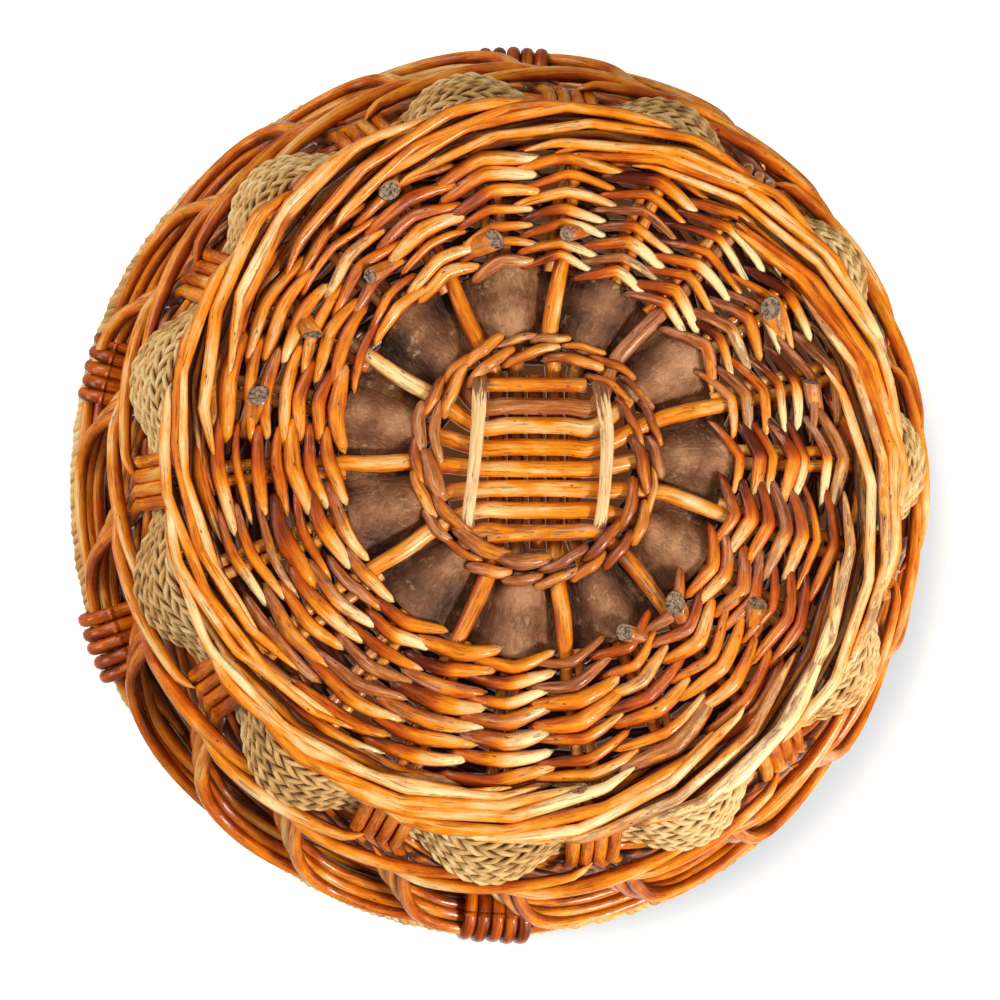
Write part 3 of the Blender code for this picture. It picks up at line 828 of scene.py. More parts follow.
@dataclass
class BaseCross:
    """The crossing rods of the base, which run on as its doubled spokes, with two splints.

    Stations, spread_from, level_from and the splint routes (x, y and drop) are in millimetres.
    """

    across_first: float = -29.4 * MM
    across_pitch: float = 8.4 * MM
    along_first: float = -15.6 * MM
    along_pitch: float = 7.8 * MM
    cross_offset: float = 3.3 * MM
    rod_radius: float = 3.5 * MM
    spoke_radius: float = 2.6 * MM
    second_radius: float = 2.4 * MM
    pair_gap: float = 2.9 * MM
    sticks_across: int = 7
    half_rings: int = 40
    stations: tuple[float, ...] = (49, 62, 76, 90, 104, 118, 131, 141)
    spread_from: float = 72
    level_from: float = 80
    side_drop: float = 1.3 * MM
    right_spokes: tuple[int | None, ...] = (4, 5, None, 6, 7)
    left_spokes: tuple[int | None, ...] = (18, 17, None, 16, 15)
    tones: tuple[float, ...] = (0.3, 0.35, 0.62, 0.52, 0.5, 0.56, 0.55, 0.4)
    barks: tuple[float, ...] = (0.35, 0.75, 0.0, 0.12, 0.1, 0.05, 0.05, 0.5)
    splint_routes: tuple[tuple[Triple, ...], ...] = (
        ((-22.5, -35, -5), (-23, -30, 8.4), (-24, -12, 9.2),
         (-25.6, 6, 9.2), (-27.6, 22, 8.6), (-27, 31, 2)),
        ((23.5, -34, -3), (25, -28, 8.2), (27.6, -10, 9.4),
         (27, 8, 9.6), (25.4, 23, 9.0), (24.4, 29, 4)))

    def spoke_path(self, start: list, spoke: int, level: float, rings: int) -> Route:
        """Route of half a rod, from the cross along its spoke to the edge of the base.

        Args:
            start: level places (x, y) from the middle of the cross outwards.
            spoke: number of the spoke.
            level: drop below the middle level, inside the cross.
            rings: rings of the half rod.

        Returns:
            Places and radii, from the middle outwards.
        """
        turn = PLAN.turn(spoke)
        side = 1 if spoke % 2 else -1
        points = [(x, y, level) for x, y in start]
        radii = [self.rod_radius] * len(start)
        for radius in self.stations:
            shift = self.pair_gap * min(1.0, max(0.0, (radius - self.spread_from) / 10))
            offset = turn + shift / (radius * MM)
            drop = self.side_drop * side if radius < self.level_from else 0.0
            points.append((radius * MM * math.cos(offset), radius * MM * math.sin(offset), drop))
            thinned = min(1, max(0, radius - self.spread_from) / 12)
            radii.append(self.rod_radius - (self.rod_radius - self.spoke_radius) * thinned)
        return PLAN.under_base(smooth_path(points, rings)), smooth_path(radii, rings)

    def add_rod(self, bundle: Bundle, left: Route, right: Route, look: Look) -> None:
        """Join two half routes into one rod and add it.

        Args:
            bundle: where the rod goes.
            left: places and radii of one half.
            right: places and radii of the other half.
            look: what it shows.
        """
        path = np.concatenate([left[0][::-1], right[0][1:]])
        radii = np.concatenate([left[1][::-1], right[1][1:]])
        bundle.add(path, radii, DOWN, look, sides=10, ends=(End.CUT, End.CUT))

    def build(self) -> None:
        """Build the sticks, the second sticks of the spokes and the splints."""
        bundle = Bundle("base_sticks")
        for index in range(1, self.sticks_across + 1):
            self.add_stick_across(bundle, index)
        self.add_short_rods_across(bundle)
        for index in range(len(self.right_spokes)):
            self.add_stick_along(bundle, index)
        for spoke in range(PLAN.spokes):
            self.add_second_stick(bundle, spoke)
        across = [f"stick_across_{index}" for index in range(1, self.sticks_across + 1)]
        along = [f"stick_along_{index}" for index in range(1, len(self.right_spokes))]
        bundle.piece(ORANGE_WILLOW, across + along + ["short_rod_across", "short_rod_along"])
        self.build_splints()

    def add_stick_across(self, bundle: Bundle, index: int) -> None:
        """Add one rod across the base, which is a spoke at both its ends.

        Args:
            bundle: where the rod goes.
            index: its number, from 1.
        """
        y = self.across_first + index * self.across_pitch
        bow = 0.5 * MM * math.sin(index * 2.1)
        halves = []
        for spoke, sign in ((index - 4, 1), (15 - index, -1)):
            start = [(0.0, y + bow), (sign * 12 * MM, y + bow * 0.6), (sign * 24 * MM, y)]
            halves.append(self.spoke_path(start, spoke % PLAN.spokes, self.cross_offset, self.half_rings))
        self.add_rod(bundle, halves[1], halves[0], Look(self.tones[index], self.barks[index], 0.02, 0.7))

    def add_stick_along(self, bundle: Bundle, index: int) -> None:
        """Add one rod along the base, or the short one that stands for the middle rod.

        Args:
            bundle: where the rod goes.
            index: its number, from 0.
        """
        x = -self.along_first - index * self.along_pitch
        look = Look(0.45 + 0.1 * math.sin(index * 3), 0.15 if index != 3 else 0.6, 0.12)
        level = -self.cross_offset
        if self.right_spokes[index] is None:
            curve = smooth_path([(x, -34 * MM, level), (x, 0, level), (x + 1 * MM, 36 * MM, level)], 16)
            bundle.add(PLAN.under_base(curve), 3.2 * MM, DOWN, look, sides=10, ends=(End.CUT, End.CUT))
            return
        halves = []
        for spoke, sign in ((self.right_spokes[index], 1), (self.left_spokes[index], -1)):
            start = [(x, 0.0), (x, sign * 18 * MM), (x, sign * 32 * MM)]
            halves.append(self.spoke_path(start, spoke, level, self.half_rings))
        self.add_rod(bundle, halves[1], halves[0], look)

    def add_short_rods_across(self, bundle: Bundle) -> None:
        """Add the short rods at the two long sides of the cross."""
        for y, x0, x1, slope in ((self.across_first, -21, 20, 0.0), (30.0 * MM, -20, 21, -1.4)):
            points = [(x0 * MM, y + slope * -1 * MM, self.cross_offset),
                      (0, y, self.cross_offset + 0.6 * MM), (x1 * MM, y + slope * MM, self.cross_offset)]
            path = PLAN.under_base(smooth_path(points, 20))
            ends = (End.CUT, End.CUT) if slope == 0 else (End.CUT, End.POINT)
            bundle.add(path, 3.0 * MM, DOWN, Look(0.4, 0.42, 0.05), sides=10, ends=ends)

    def add_second_stick(self, bundle: Bundle, spoke: int) -> None:
        """Add the stick that doubles a spoke where the weavers hold it.

        Args:
            bundle: where the stick goes.
            spoke: number of the spoke.
        """
        turn = PLAN.turn(spoke)
        rings = 24
        radius = np.linspace(76, self.stations[-1], rings) * MM + SHUFFLE.uniform(-1.5, 1.0) * MM
        offset = turn - (self.pair_gap + 0.3 * MM * np.sin(radius / MM / 9 + spoke)) / radius
        path = PLAN.on_base(radius, offset, np.full(rings, 0.2 * MM))
        tone = 0.45 + SHUFFLE.uniform(-0.12, 0.12)
        bundle.add(path, self.second_radius, DOWN, Look(tone, SHUFFLE.uniform(0.1, 0.5), 0.12),
                   ends=(End.CUT, End.CUT))

    def build_splints(self) -> None:
        """Build the two peeled splints that hold the rods across."""
        bundle = Bundle("splints")
        rings = 34
        for points in self.splint_routes:
            path = PLAN.under_base(smooth_path(points, rings) * MM)
            share = np.linspace(0, 1, rings)
            width = (2.7 + 0.3 * np.sin(share * 7)) * MM
            bark = 0.22 + 0.75 * hill(share, 0.08, 0.14) + 0.4 * hill(share, 0.95, 0.1)
            bundle.add(path, width, DOWN, Look(0.5, bark, 0.0), sides=12, flat=0.42,
                       ends=(End.POINT, End.POINT), taper=5 * MM)
        bundle.piece(Splint(), ["splint_left", "splint_right"])


@dataclass
class Twining:
    """A row of stitches that pass below and above the spokes and overlap at their tips."""

    radius: float
    rise: float
    rod_radius: float
    slant: float
    group: float = 1
    chevron: float = 0.0
    reach: float = 0.7
    phase: int = 0
    light: float = 0.46
    skin: float = 0.0
    drawn_in: float = 0.5
    chevron_turn: float = math.radians(-20)
    stout_turn: float = math.radians(125)
    light_turn: float = math.radians(48)
    skins: tuple[float, ...] = (0.02, 0.14, 0.26, 0.42, 0.6)
    skin_odds: tuple[float, ...] = (0.28, 0.24, 0.22, 0.17, 0.09)

    def add(self, bundle: Bundle, rings: int = 15) -> None:
        """Add the row's stitches, one below and one above each group of spokes.

        Args:
            bundle: where they go.
            rings: rings of each stitch.
        """
        for number in range(round(PLAN.spokes / self.group)):
            for front in (1, -1):
                self.add_stitch(bundle, number, front, rings)

    def add_stitch(self, bundle: Bundle, number: int, front: int, rings: int) -> None:
        """Add one stitch: thick over its spokes, then thinner to the tips that go under its neighbours.

        Args:
            bundle: where it goes.
            number: its group of spokes.
            front: 1 where it passes below the spokes, -1 where it passes above them.
            rings: its rings.
        """
        share, rise, thick = stitch_shape(rings, self.reach * SHUFFLE.uniform(0.86, 1.15), self.drawn_in)
        near = np.linspace(-1, 1, rings)
        turn = PLAN.turn((number + share) * self.group + self.phase + (self.group - 1) / 2)
        pull = self.chevron * (1 + 0.75 * np.cos(turn - self.chevron_turn))
        inward = pull * (np.hypot(2 * share, 0.05) - 0.05)
        lean = self.slant * front * SHUFFLE.uniform(0.4, 1.5)
        waver = 0.14 * np.sin(near * 4 + SHUFFLE.uniform(0, 6)) + SHUFFLE.normal(0, 0.2)
        radius = self.radius - inward + lean * 2 * share + waver * self.rod_radius
        path = PLAN.on_base(radius, turn, self.rise * front * rise * SHUFFLE.uniform(0.92, 1.08))
        stout = 1 + 0.14 * math.cos(turn[rings // 2] - self.stout_turn)
        fat = float(np.clip(SHUFFLE.normal(stout, 0.17), 0.68, 1.4))
        # Painted light: the half of a stitch that faces the light's turn is paler towards its tip.
        facing = np.cos(turn + np.sign(share) * math.pi / 2 - self.light_turn)
        mood = SHUFFLE.uniform(-0.2, 0.2)
        light = self.light * SHUFFLE.choice([0.3, 0.6, 1.0]) * (1 + 0.35 * np.cos(turn))
        lit = facing * np.abs(near) ** 0.6
        tone = 0.38 + mood + 1.4 * light * lit
        bark = SHUFFLE.choice(self.skins, p=self.skin_odds)
        # The half turned from the light shows more skin, a painted shade.
        bark = bark + self.skin + 0.2 * np.clip(-lit, 0, 1)
        # Painted shade at the tips, where they go under their neighbours, and on the half turned from the
        # light.
        painted_shade = 0.02 + 0.5 * rising(np.abs(near), 0.84, 0.2)
        painted_shade = painted_shade + 0.16 * np.clip(-facing * np.abs(near), 0, 1)
        bundle.add(path, self.rod_radius * fat * thick, DOWN * front, Look(tone, bark, painted_shade),
                   ends=(End.POINT, End.POINT), taper=2.5 * MM)


def stitch_shape(rings: int, reach: float, drawn_in: float) -> tuple[np.ndarray, ...]:
    """Shape of one stitch: thick and high over its spoke, thinner to tips that go under.

    Args:
        rings: how many places to give.
        reach: how far it goes on either side, in spokes.
        drawn_in: how much thinner the tips are.

    Returns:
        Place along the row, height as a share of the rise, and thickness as a share of the full one.
    """
    near = np.linspace(-1, 1, rings)
    near = np.sign(near) * np.abs(near) ** 1.15
    size = np.abs(near)
    rise = 1 - 0.2 * size ** 1.5 - rising(size, 0.8, 0.3) ** 1.4
    return near * reach, rise, 1 - drawn_in * size ** 1.6


@dataclass
class InnerPairing:
    """Thick twined rows that hold the cross and spread the spokes."""

    inner_radius: float = 42.0 * MM
    outer_radius: float = 48.6 * MM
    inner_stitches: int = 15

    def build(self) -> None:
        """Build the two rows."""
        bundle = Bundle("inner_pairing")
        Twining(self.inner_radius, rise=6.6 * MM, rod_radius=2.6 * MM, slant=1.9 * MM,
                group=PLAN.spokes / self.inner_stitches, light=0.2, skin=0.12, drawn_in=0.35).add(bundle)
        Twining(self.outer_radius, rise=5.2 * MM, rod_radius=2.35 * MM, slant=1.4 * MM,
                light=0.2, skin=0.12, drawn_in=0.35).add(bundle)
        bundle.piece(BROWN_WILLOW, ["inner_pairing_under", "inner_pairing_over"])


@dataclass
class BaseWeave:
    """Twined rows of willow outside the bark band."""

    first_radius: float = 82.0 * MM
    row_pitch: float = 7.1 * MM
    rise: float = 5.0 * MM
    last_rise: float = 3.4 * MM
    rings_in_cad: int = 7
    pieces: tuple[tuple[int, int], ...] = ((0, 3), (3, 6), (6, 8))

    def build(self) -> None:
        """Build the eight rows in three pieces, which stand for the seven rings of the CAD."""
        for number, (first, stop) in enumerate(self.pieces):
            bundle = Bundle(f"base_weave_{number + 1}")
            for row in range(first, stop):
                radius = self.first_radius + row * self.row_pitch
                rise = self.rise if row < self.rings_in_cad else self.last_rise
                thick = (2.8 + 0.15 * math.sin(row * 2.3)) * MM
                Twining(radius, rise, thick, slant=2.0 * MM, chevron=2.8 * MM, phase=row).add(bundle)
            nodes = [f"base_weaver_row_{row + 1}" for row in range(first, min(stop, self.rings_in_cad))]
            bundle.piece(ORANGE_WILLOW, nodes)


@dataclass
class BarkBand:
    """Broad strip of bark that goes below one spoke and above the next."""

    radius: float = 62.8 * MM
    half_width: float = 15.6 * MM
    thickness: float = 1.5 * MM
    rise: float = 3.6 * MM
    rings_each: int = 14

    def build(self) -> None:
        """Build the band."""
        bundle = Bundle("bark_band_strip")
        count = (PLAN.spokes + 1) * self.rings_each + 1
        along = np.linspace(-1.0, PLAN.spokes, count)
        wave = np.cos(np.pi * along)
        drop = self.rise * np.sign(wave) * np.abs(wave) ** 0.75
        wander = 0.8 * MM * np.sin(along * 1.7) + 0.5 * MM * np.sin(along * 4.1)
        path = PLAN.on_base(self.radius + 0.4 * wander, PLAN.turn(along), drop)
        width = self.half_width * (1 + 0.05 * np.sin(along * 2.3) + 0.06 * wave)
        # Painted highlight on the middle of each panel that bulges below a spoke, so the strip looks darker
        # where it dives under.
        tone = 0.36 + 0.12 * np.sin(along * 1.3) + 0.26 * (wave > 0) * np.abs(wave) ** 2
        bundle.add(path, width, DOWN, Look(tone, 0.0, 0.0), sides=28, square=0.35,
                   flat=self.thickness / 2 / self.half_width)
        bundle.piece(BarkStrip(), ["bark_band"])


@dataclass
class FootBorder:
    """Border of long rods under the edge of the base, each laid inwards over the last."""

    rods: int = 28
    outer: float = 146.4 * MM
    inner: float = 126.0 * MM
    span: float = math.radians(62)
    radius: float = 2.55 * MM
    upper_level: float = 8.3 * MM
    rings: int = 49
    bend_depth: float = 6.4 * MM
    light_turn: float = math.radians(50)

    def build(self) -> None:
        """Build the lower rods, which the basket stands on, and the upper ones behind them."""
        bundle = Bundle("foot_border_rods")
        for layer in range(2):
            for number in range(self.rods):
                self.add_rod(bundle, number, layer)
        bundle.piece(ORANGE_WILLOW, ["foot_border"])

    def add_rod(self, bundle: Bundle, number: int, layer: int) -> None:
        """Add one rod.

        Args:
            bundle: where it goes.
            number: its place round the basket.
            layer: 0 for the lower rods, 1 for the upper ones.
        """
        share = np.linspace(0, 1, self.rings)
        span = self.span * SHUFFLE.uniform(0.75, 1.25)
        place = number + 0.5 * layer + SHUFFLE.uniform(-0.18, 0.18)
        start = PLAN.turn(place * PLAN.spokes / self.rods)
        turn = start - span * share
        thick = self.radius * SHUFFLE.choice([0.84, 0.95, 1.04, 1.2])
        radii = thick * (1 - 0.2 * share)
        bend = np.mod((turn - PLAN.first_turn) / PLAN.pitch + SHUFFLE.uniform(-0.35, 0.35), 1.0)
        wobble = 0.4 * MM * np.sin(share * 9 + number * 2.1) - self.bend_depth * bend * (1 - bend)
        wobble = wobble + SHUFFLE.uniform(0.0, 1.2) * MM * (1 - share)
        wobble = wobble + SHUFFLE.uniform(-1.5, 2.5) * MM * share
        if layer == 0:
            inwards = rising(share, 0.16, 0.84)
            radius = self.outer - (self.outer - self.inner) * inwards ** 1.1 + wobble
            lift = 2.2 * MM * np.clip(1 - share / 0.1, 0, 1) ** 1.5 + 3.4 * MM * rising(share, 0.6, 0.4) ** 2
            height = radii + 0.2 * MM + lift
        else:
            radius = self.outer + 0.8 * MM - (self.outer - self.inner) * 0.92 * share + wobble
            height = self.upper_level + 1.2 * MM * share
            radii = radii * 0.9
        path = PLAN.place(radius, turn, height)
        mood = SHUFFLE.uniform(-0.14, 0.14)
        tone = 0.55 + mood + 0.14 * np.sin(share * 4 + number) * SHUFFLE.uniform(0.2, 1.0)
        # Painted light: rods on the side of the basket toward the light are paler.
        tone = tone + 0.2 * np.clip(np.cos(turn - self.light_turn), 0, 1) ** 2
        bark = SHUFFLE.choice([0.03, 0.12, 0.3, 0.5], p=[0.35, 0.3, 0.2, 0.15])
        # Painted shade at both ends, where a rod goes under, and on the upper rods behind the lower ones.
        painted_shade = 0.35 * np.clip(1 - share / 0.08, 0, 1) + 0.35 * rising(share, 0.9, 0.1)
        if layer == 1:
            painted_shade = painted_shade + 0.2
        out = DOWN if layer == 0 else PLAN.outward(turn)
        bundle.add(path, radii, out, Look(tone, bark, painted_shade, 0.7), sides=10,
                   ends=(End.POINT, End.POINT), taper=18 * MM)


@dataclass
class SideStakes:
    """Groups of four stakes that stand round the wall and lean over to the rim as arches.

    Three stakes of a group make its outer arch and one its inner arch. A row of an arch gives the lean in
    degrees, then the height and the stand off the wall in millimetres, and a row of the foot gives the
    height and the way inwards in millimetres. The bulge's turn and width are in degrees.
    """

    in_group: int = 4
    spacing: float = 5.7 * MM
    radius: float = 3.0 * MM
    tip_radius: float = 2.9 * MM
    bulge: float = 4.5 * MM
    groups_in_piece: int = 6
    arch_rings: int = 49
    fill_rings: int = 33
    bulge_turn: float = 140
    bulge_width: float = 24
    outer_rods: int = 3
    fill_rods: int = 2
    fill_radius: float = 2.5 * MM
    fill_step_down: float = 6.0
    fill_step_round: float = 3.0
    foot: tuple[tuple[float, float], ...] = ((9.5, 2.0), (16, 1.0), (29, 0.0), (41, 0.0))
    outer_arch: tuple[Triple, ...] = (
        (0.0, 47, 0.0), (2.4, 58, 1.6), (4.4, 78, 5.8), (7.2, 97, 9.6), (11.5, 110, 11.0),
        (17.5, 117, 10.6), (25, 121, 9.2), (34, 124, 7.2), (44, 126, 5.2))
    inner_arch: tuple[Triple, ...] = (
        (0.0, 47, 0.0), (2.0, 57, -0.3), (5.0, 70, -1.6), (10.0, 86, -2.8), (17, 99, -3.8),
        (25, 108, -4.6), (34, 115, -5.0), (44, 120, -5.0))
    fill_arch: tuple[Triple, ...] = (
        (0.5, 48, -2.6), (6.0, 58, -2.4), (12.0, 72, -2.4), (19, 88, -3.0), (27, 101, -3.6),
        (36, 110, -4.2), (45, 116, -4.6))

    def build(self) -> None:
        """Build the groups, a few in each piece."""
        for first in range(0, PLAN.spokes, self.groups_in_piece):
            bundle = Bundle(f"side_stakes_{first // self.groups_in_piece + 1}")
            groups = range(first, min(first + self.groups_in_piece, PLAN.spokes))
            for group in groups:
                for rod in range(self.in_group):
                    self.add_stake(bundle, group, rod)
                for rod in range(self.fill_rods):
                    self.add_fill(bundle, group, rod)
            nodes = [f"side_stakes_{group + 1:02d}" for group in groups]
            bundle.piece(STAINED_WILLOW, nodes)

    def add_stake(self, bundle: Bundle, group: int, rod: int) -> None:
        """Add one stake and its arch.

        Args:
            bundle: where it goes.
            group: the group's spoke.
            rod: its number in the group.
        """
        outer = rod < self.outer_rods
        rank = rod % self.outer_rods
        offset = (rod - (self.in_group - 1) / 2) * self.spacing
        points = []
        for height, inwards in self.foot:
            level = height * MM
            reach = PLAN.wall_radius(level) - inwards * MM
            points.append((offset / reach, level, reach))
        vary = SHUFFLE.uniform(-1, 1) if rank == 0 else math.sin(group * 2.7)
        for lean, height, stand in self.outer_arch if outer else self.inner_arch:
            apart = min(1, lean / 9) * (1 - 0.02 * min(10, max(0, lean - 11)))
            level = (height - 2.0 * rank * apart + 0.9 * vary * min(1, lean / 9)) * MM
            reach = PLAN.wall_radius(level) + (stand - 4.9 * rank * apart) * MM
            past = math.degrees(PLAN.turn(group)) - lean - self.bulge_turn
            bulge = math.exp(-(past / self.bulge_width) ** 2) + 0.25 * vary
            reach += self.bulge * outer * bulge * min(1, lean / 17)
            near = max(0.0, 1 - lean / 12)
            turn = -math.radians(lean * (1 - 0.1 * rank)) + offset * (0.35 + 0.65 * near) / reach
            points.append((turn, level, reach))
        rows = smooth_path(points, self.arch_rings)
        turn = PLAN.turn(group) + rows[:, 0]
        path = PLAN.place(rows[:, 2], turn, rows[:, 1])
        share = np.linspace(0, 1, self.arch_rings)
        radii = self.radius - (self.radius - self.tip_radius) * rising(share, 0.45, 0.55)
        radii = radii * SHUFFLE.uniform(0.92, 1.08)
        above = rising(share, 0.34, 0.14)
        tone = 0.42 + SHUFFLE.uniform(-0.1, 0.12) + 0.08 * above + 0.12 * np.sin(share * 11 + rod + group)
        # Painted shade where the stake passes behind the waling and at its ends.
        painted_shade = 0.05 + 0.4 * hill(share, 0.33, 0.05) + 0.3 * (share < 0.06) + 0.25 * (share > 0.93)
        bark = SHUFFLE.choice([0.0, 0.06, 0.16], p=[0.5, 0.3, 0.2])
        # The inner arch is painted darker above the waling, as shade.
        if not outer:
            tone, painted_shade = tone - 0.26 * above, painted_shade + 0.5 * above
        # out leans down above the waling, so the material's painted highlight falls on the rods' lower
        # faces.
        out = PLAN.outward(turn) + DOWN * 0.7 * above[:, None]
        bundle.add(path, radii, out, Look(tone, bark, painted_shade, 0.9), ends=(End.CUT, End.POINT), taper=20 * MM)

    def add_fill(self, bundle: Bundle, group: int, rod: int) -> None:
        """Add a rod that starts behind the waling and fills the wall between two arches.

        Args:
            bundle: where it goes.
            group: the group's spoke.
            rod: its number beside the group.
        """
        points = []
        for lean, height, stand in self.fill_arch:
            level = (height - self.fill_step_down * rod) * MM
            turn = -math.radians(lean + self.fill_step_round * rod)
            points.append((turn, level, PLAN.wall_radius(level) + stand * MM))
        rows = smooth_path(points, self.fill_rings)
        turn = PLAN.turn(group) + rows[:, 0]
        share = np.linspace(0, 1, self.fill_rings)
        # Fill rods have a low tone and strong painted shade, as they lie in shade behind the arches; out
        # leans down.
        tone = 0.3 + SHUFFLE.uniform(-0.1, 0.14) + 0.12 * np.sin(share * 8 + rod + group)
        path = PLAN.place(rows[:, 2], turn, rows[:, 1])
        bundle.add(path, self.fill_radius * SHUFFLE.uniform(0.9, 1.1), PLAN.outward(turn) + DOWN,
                   Look(tone, 0.1, 0.65), ends=(End.CUT, End.POINT), taper=20 * MM)


@dataclass
class RopeRow:
    """A cord of a few strands twisted round each other."""

    strands: int
    strand_radius: float
    offset: float
    lay: float
    hand: int = 1

    def add(self, bundle: Bundle, middle: np.ndarray, out: np.ndarray, sides: int, painted_shade: float) -> None:
        """Add the cord's strands along its middle line.

        Args:
            bundle: where they go.
            middle: places along the middle of the cord.
            out: directions out of the basket.
            sides: faces round each strand.
            painted_shade: painted shade over the whole cord, added to the painted shade in its hollows.
        """
        steps = np.linalg.norm(np.diff(middle, axis=0), axis=1)
        along = np.concatenate([[0.0], np.cumsum(steps)])
        tangent = np.gradient(middle, axis=0)
        tangent /= np.linalg.norm(tangent, axis=1)[:, None]
        across = np.cross(out, tangent)
        across /= np.linalg.norm(across, axis=1)[:, None]
        face = np.cross(tangent, across)
        for strand in range(self.strands):
            angle = self.hand * 2 * np.pi * along / self.lay + 2 * np.pi * strand / self.strands
            angle = angle + SHUFFLE.uniform(-0.2, 0.2)
            swell = 1 + 0.1 * np.sin(along / (7.3 * MM) + strand * 2) + 0.06 * np.sin(along / (3.1 * MM))
            direction = np.cos(angle)[:, None] * across + np.sin(angle)[:, None] * face
            path = middle + direction * self.offset
            tone = 0.55 + 0.16 * np.sin(along / (19 * MM) + strand) + SHUFFLE.uniform(-0.08, 0.08)
            # Painted shade on the side of each strand that turns into the cord.
            depth = 0.5 - 0.5 * np.sin(angle)
            bundle.add(path, self.strand_radius * swell, direction, Look(tone, 0.0, painted_shade + 0.35 * depth),
                       sides=sides)


@dataclass
class SeagrassBraid:
    """Band of twisted seagrass cords, outside one group of stakes and inside the next."""

    cords: int = 8
    bottom: float = 14.4 * MM
    height: float = 27.0 * MM
    swing: float = 6.2 * MM
    lean: float = 3.4 * MM
    step: float = 1.2 * MM
    middle_radius: float = 150 * MM

    def build(self) -> None:
        """Build the band's cords, each twisted against its neighbours."""
        bundle = Bundle("seagrass_band")
        pitch = self.height / self.cords
        count = int(2 * math.pi * self.middle_radius / self.step)
        spoke = 1 + np.linspace(0, PLAN.spokes, count, endpoint=False)
        spoke = np.append(spoke, spoke[-1] + 0.2)
        wave = np.cos(np.pi * spoke)
        wave = np.sign(wave) * np.abs(wave) ** 0.85
        for cord in range(self.cords):
            level = self.bottom + (cord + 0.5) * pitch + 0.5 * MM * np.sin(spoke * 1.9 + cord)
            lean = self.lean * (cord + 0.5) / self.cords * np.clip(wave, 0, 1)
            foot = 2.0 * MM * max(0.0, 1 - cord / 2)
            radius = PLAN.wall_radius(level) + wave * self.swing + lean - foot
            turn = PLAN.turn(spoke)
            middle = PLAN.place(radius, turn, level)
            rope = RopeRow(strands=2, strand_radius=1.3 * MM, offset=0.95 * MM, lay=13.5 * MM,
                           hand=1 if cord % 2 else -1)
            rope.add(bundle, middle, PLAN.outward(turn), sides=5, painted_shade=0.0)
        bundle.piece(Seagrass(), ["seagrass_braid"])


@dataclass
class Waling:
    """Two willow rods twined round the groups of stakes above the seagrass."""

    level: float = 50.2 * MM
    swing: float = 5.4 * MM
    stand: float = 3.0 * MM
    radius: float = 3.35 * MM
    reach: float = 0.95
    slope: float = 6.0 * MM
    peak: float = 0.5

    def build(self) -> None:
        """Build the stitches, one outside and one inside each group."""
        bundle = Bundle("waling")
        for group in range(PLAN.spokes):
            for front in (1, -1):
                self.add_stitch(bundle, group, front)
        bundle.piece(ORANGE_WILLOW, ["waling_rod_1", "waling_rod_2"])

    def add_stitch(self, bundle: Bundle, group: int, front: int) -> None:
        """Add one stitch of the waling.

        Args:
            bundle: where it goes.
            group: the group of stakes that it holds.
            front: 1 outside the group, -1 inside it.
        """
        share, rise, thick = stitch_shape(25, self.reach * SHUFFLE.uniform(0.92, 1.06), 0.4)
        turn = PLAN.turn(group + share)
        ramp = np.where(share > self.peak, self.peak - 1.6 * (share - self.peak), share)
        level = self.level + self.slope * ramp * SHUFFLE.uniform(0.8, 1.15)
        radius = PLAN.wall_radius(level) + self.swing * front * np.clip(rise, 0.1, 1)
        radius = radius + (self.stand + 2.2 * MM * ramp) * (front > 0)
        fat = SHUFFLE.uniform(0.9, 1.12)
        tone = 0.45 + SHUFFLE.uniform(-0.12, 0.14) + 0.1 * np.sin(share * 4 + group)
        # Painted shade towards the ends, where the stitch goes under.
        painted_shade = 0.04 + 0.4 * rising(np.abs(share), 0.6, 0.3)
        path = PLAN.place(radius, turn, level)
        # out leans down, so the material's painted highlight falls on the lower faces.
        out = PLAN.outward(turn) * front + DOWN * 0.7
        look = Look(tone, SHUFFLE.choice([0.0, 0.08, 0.22]), painted_shade, 0.8)
        bundle.add(path, self.radius * fat * thick, out, look, sides=9,
                   ends=(End.POINT, End.POINT), taper=6 * MM)


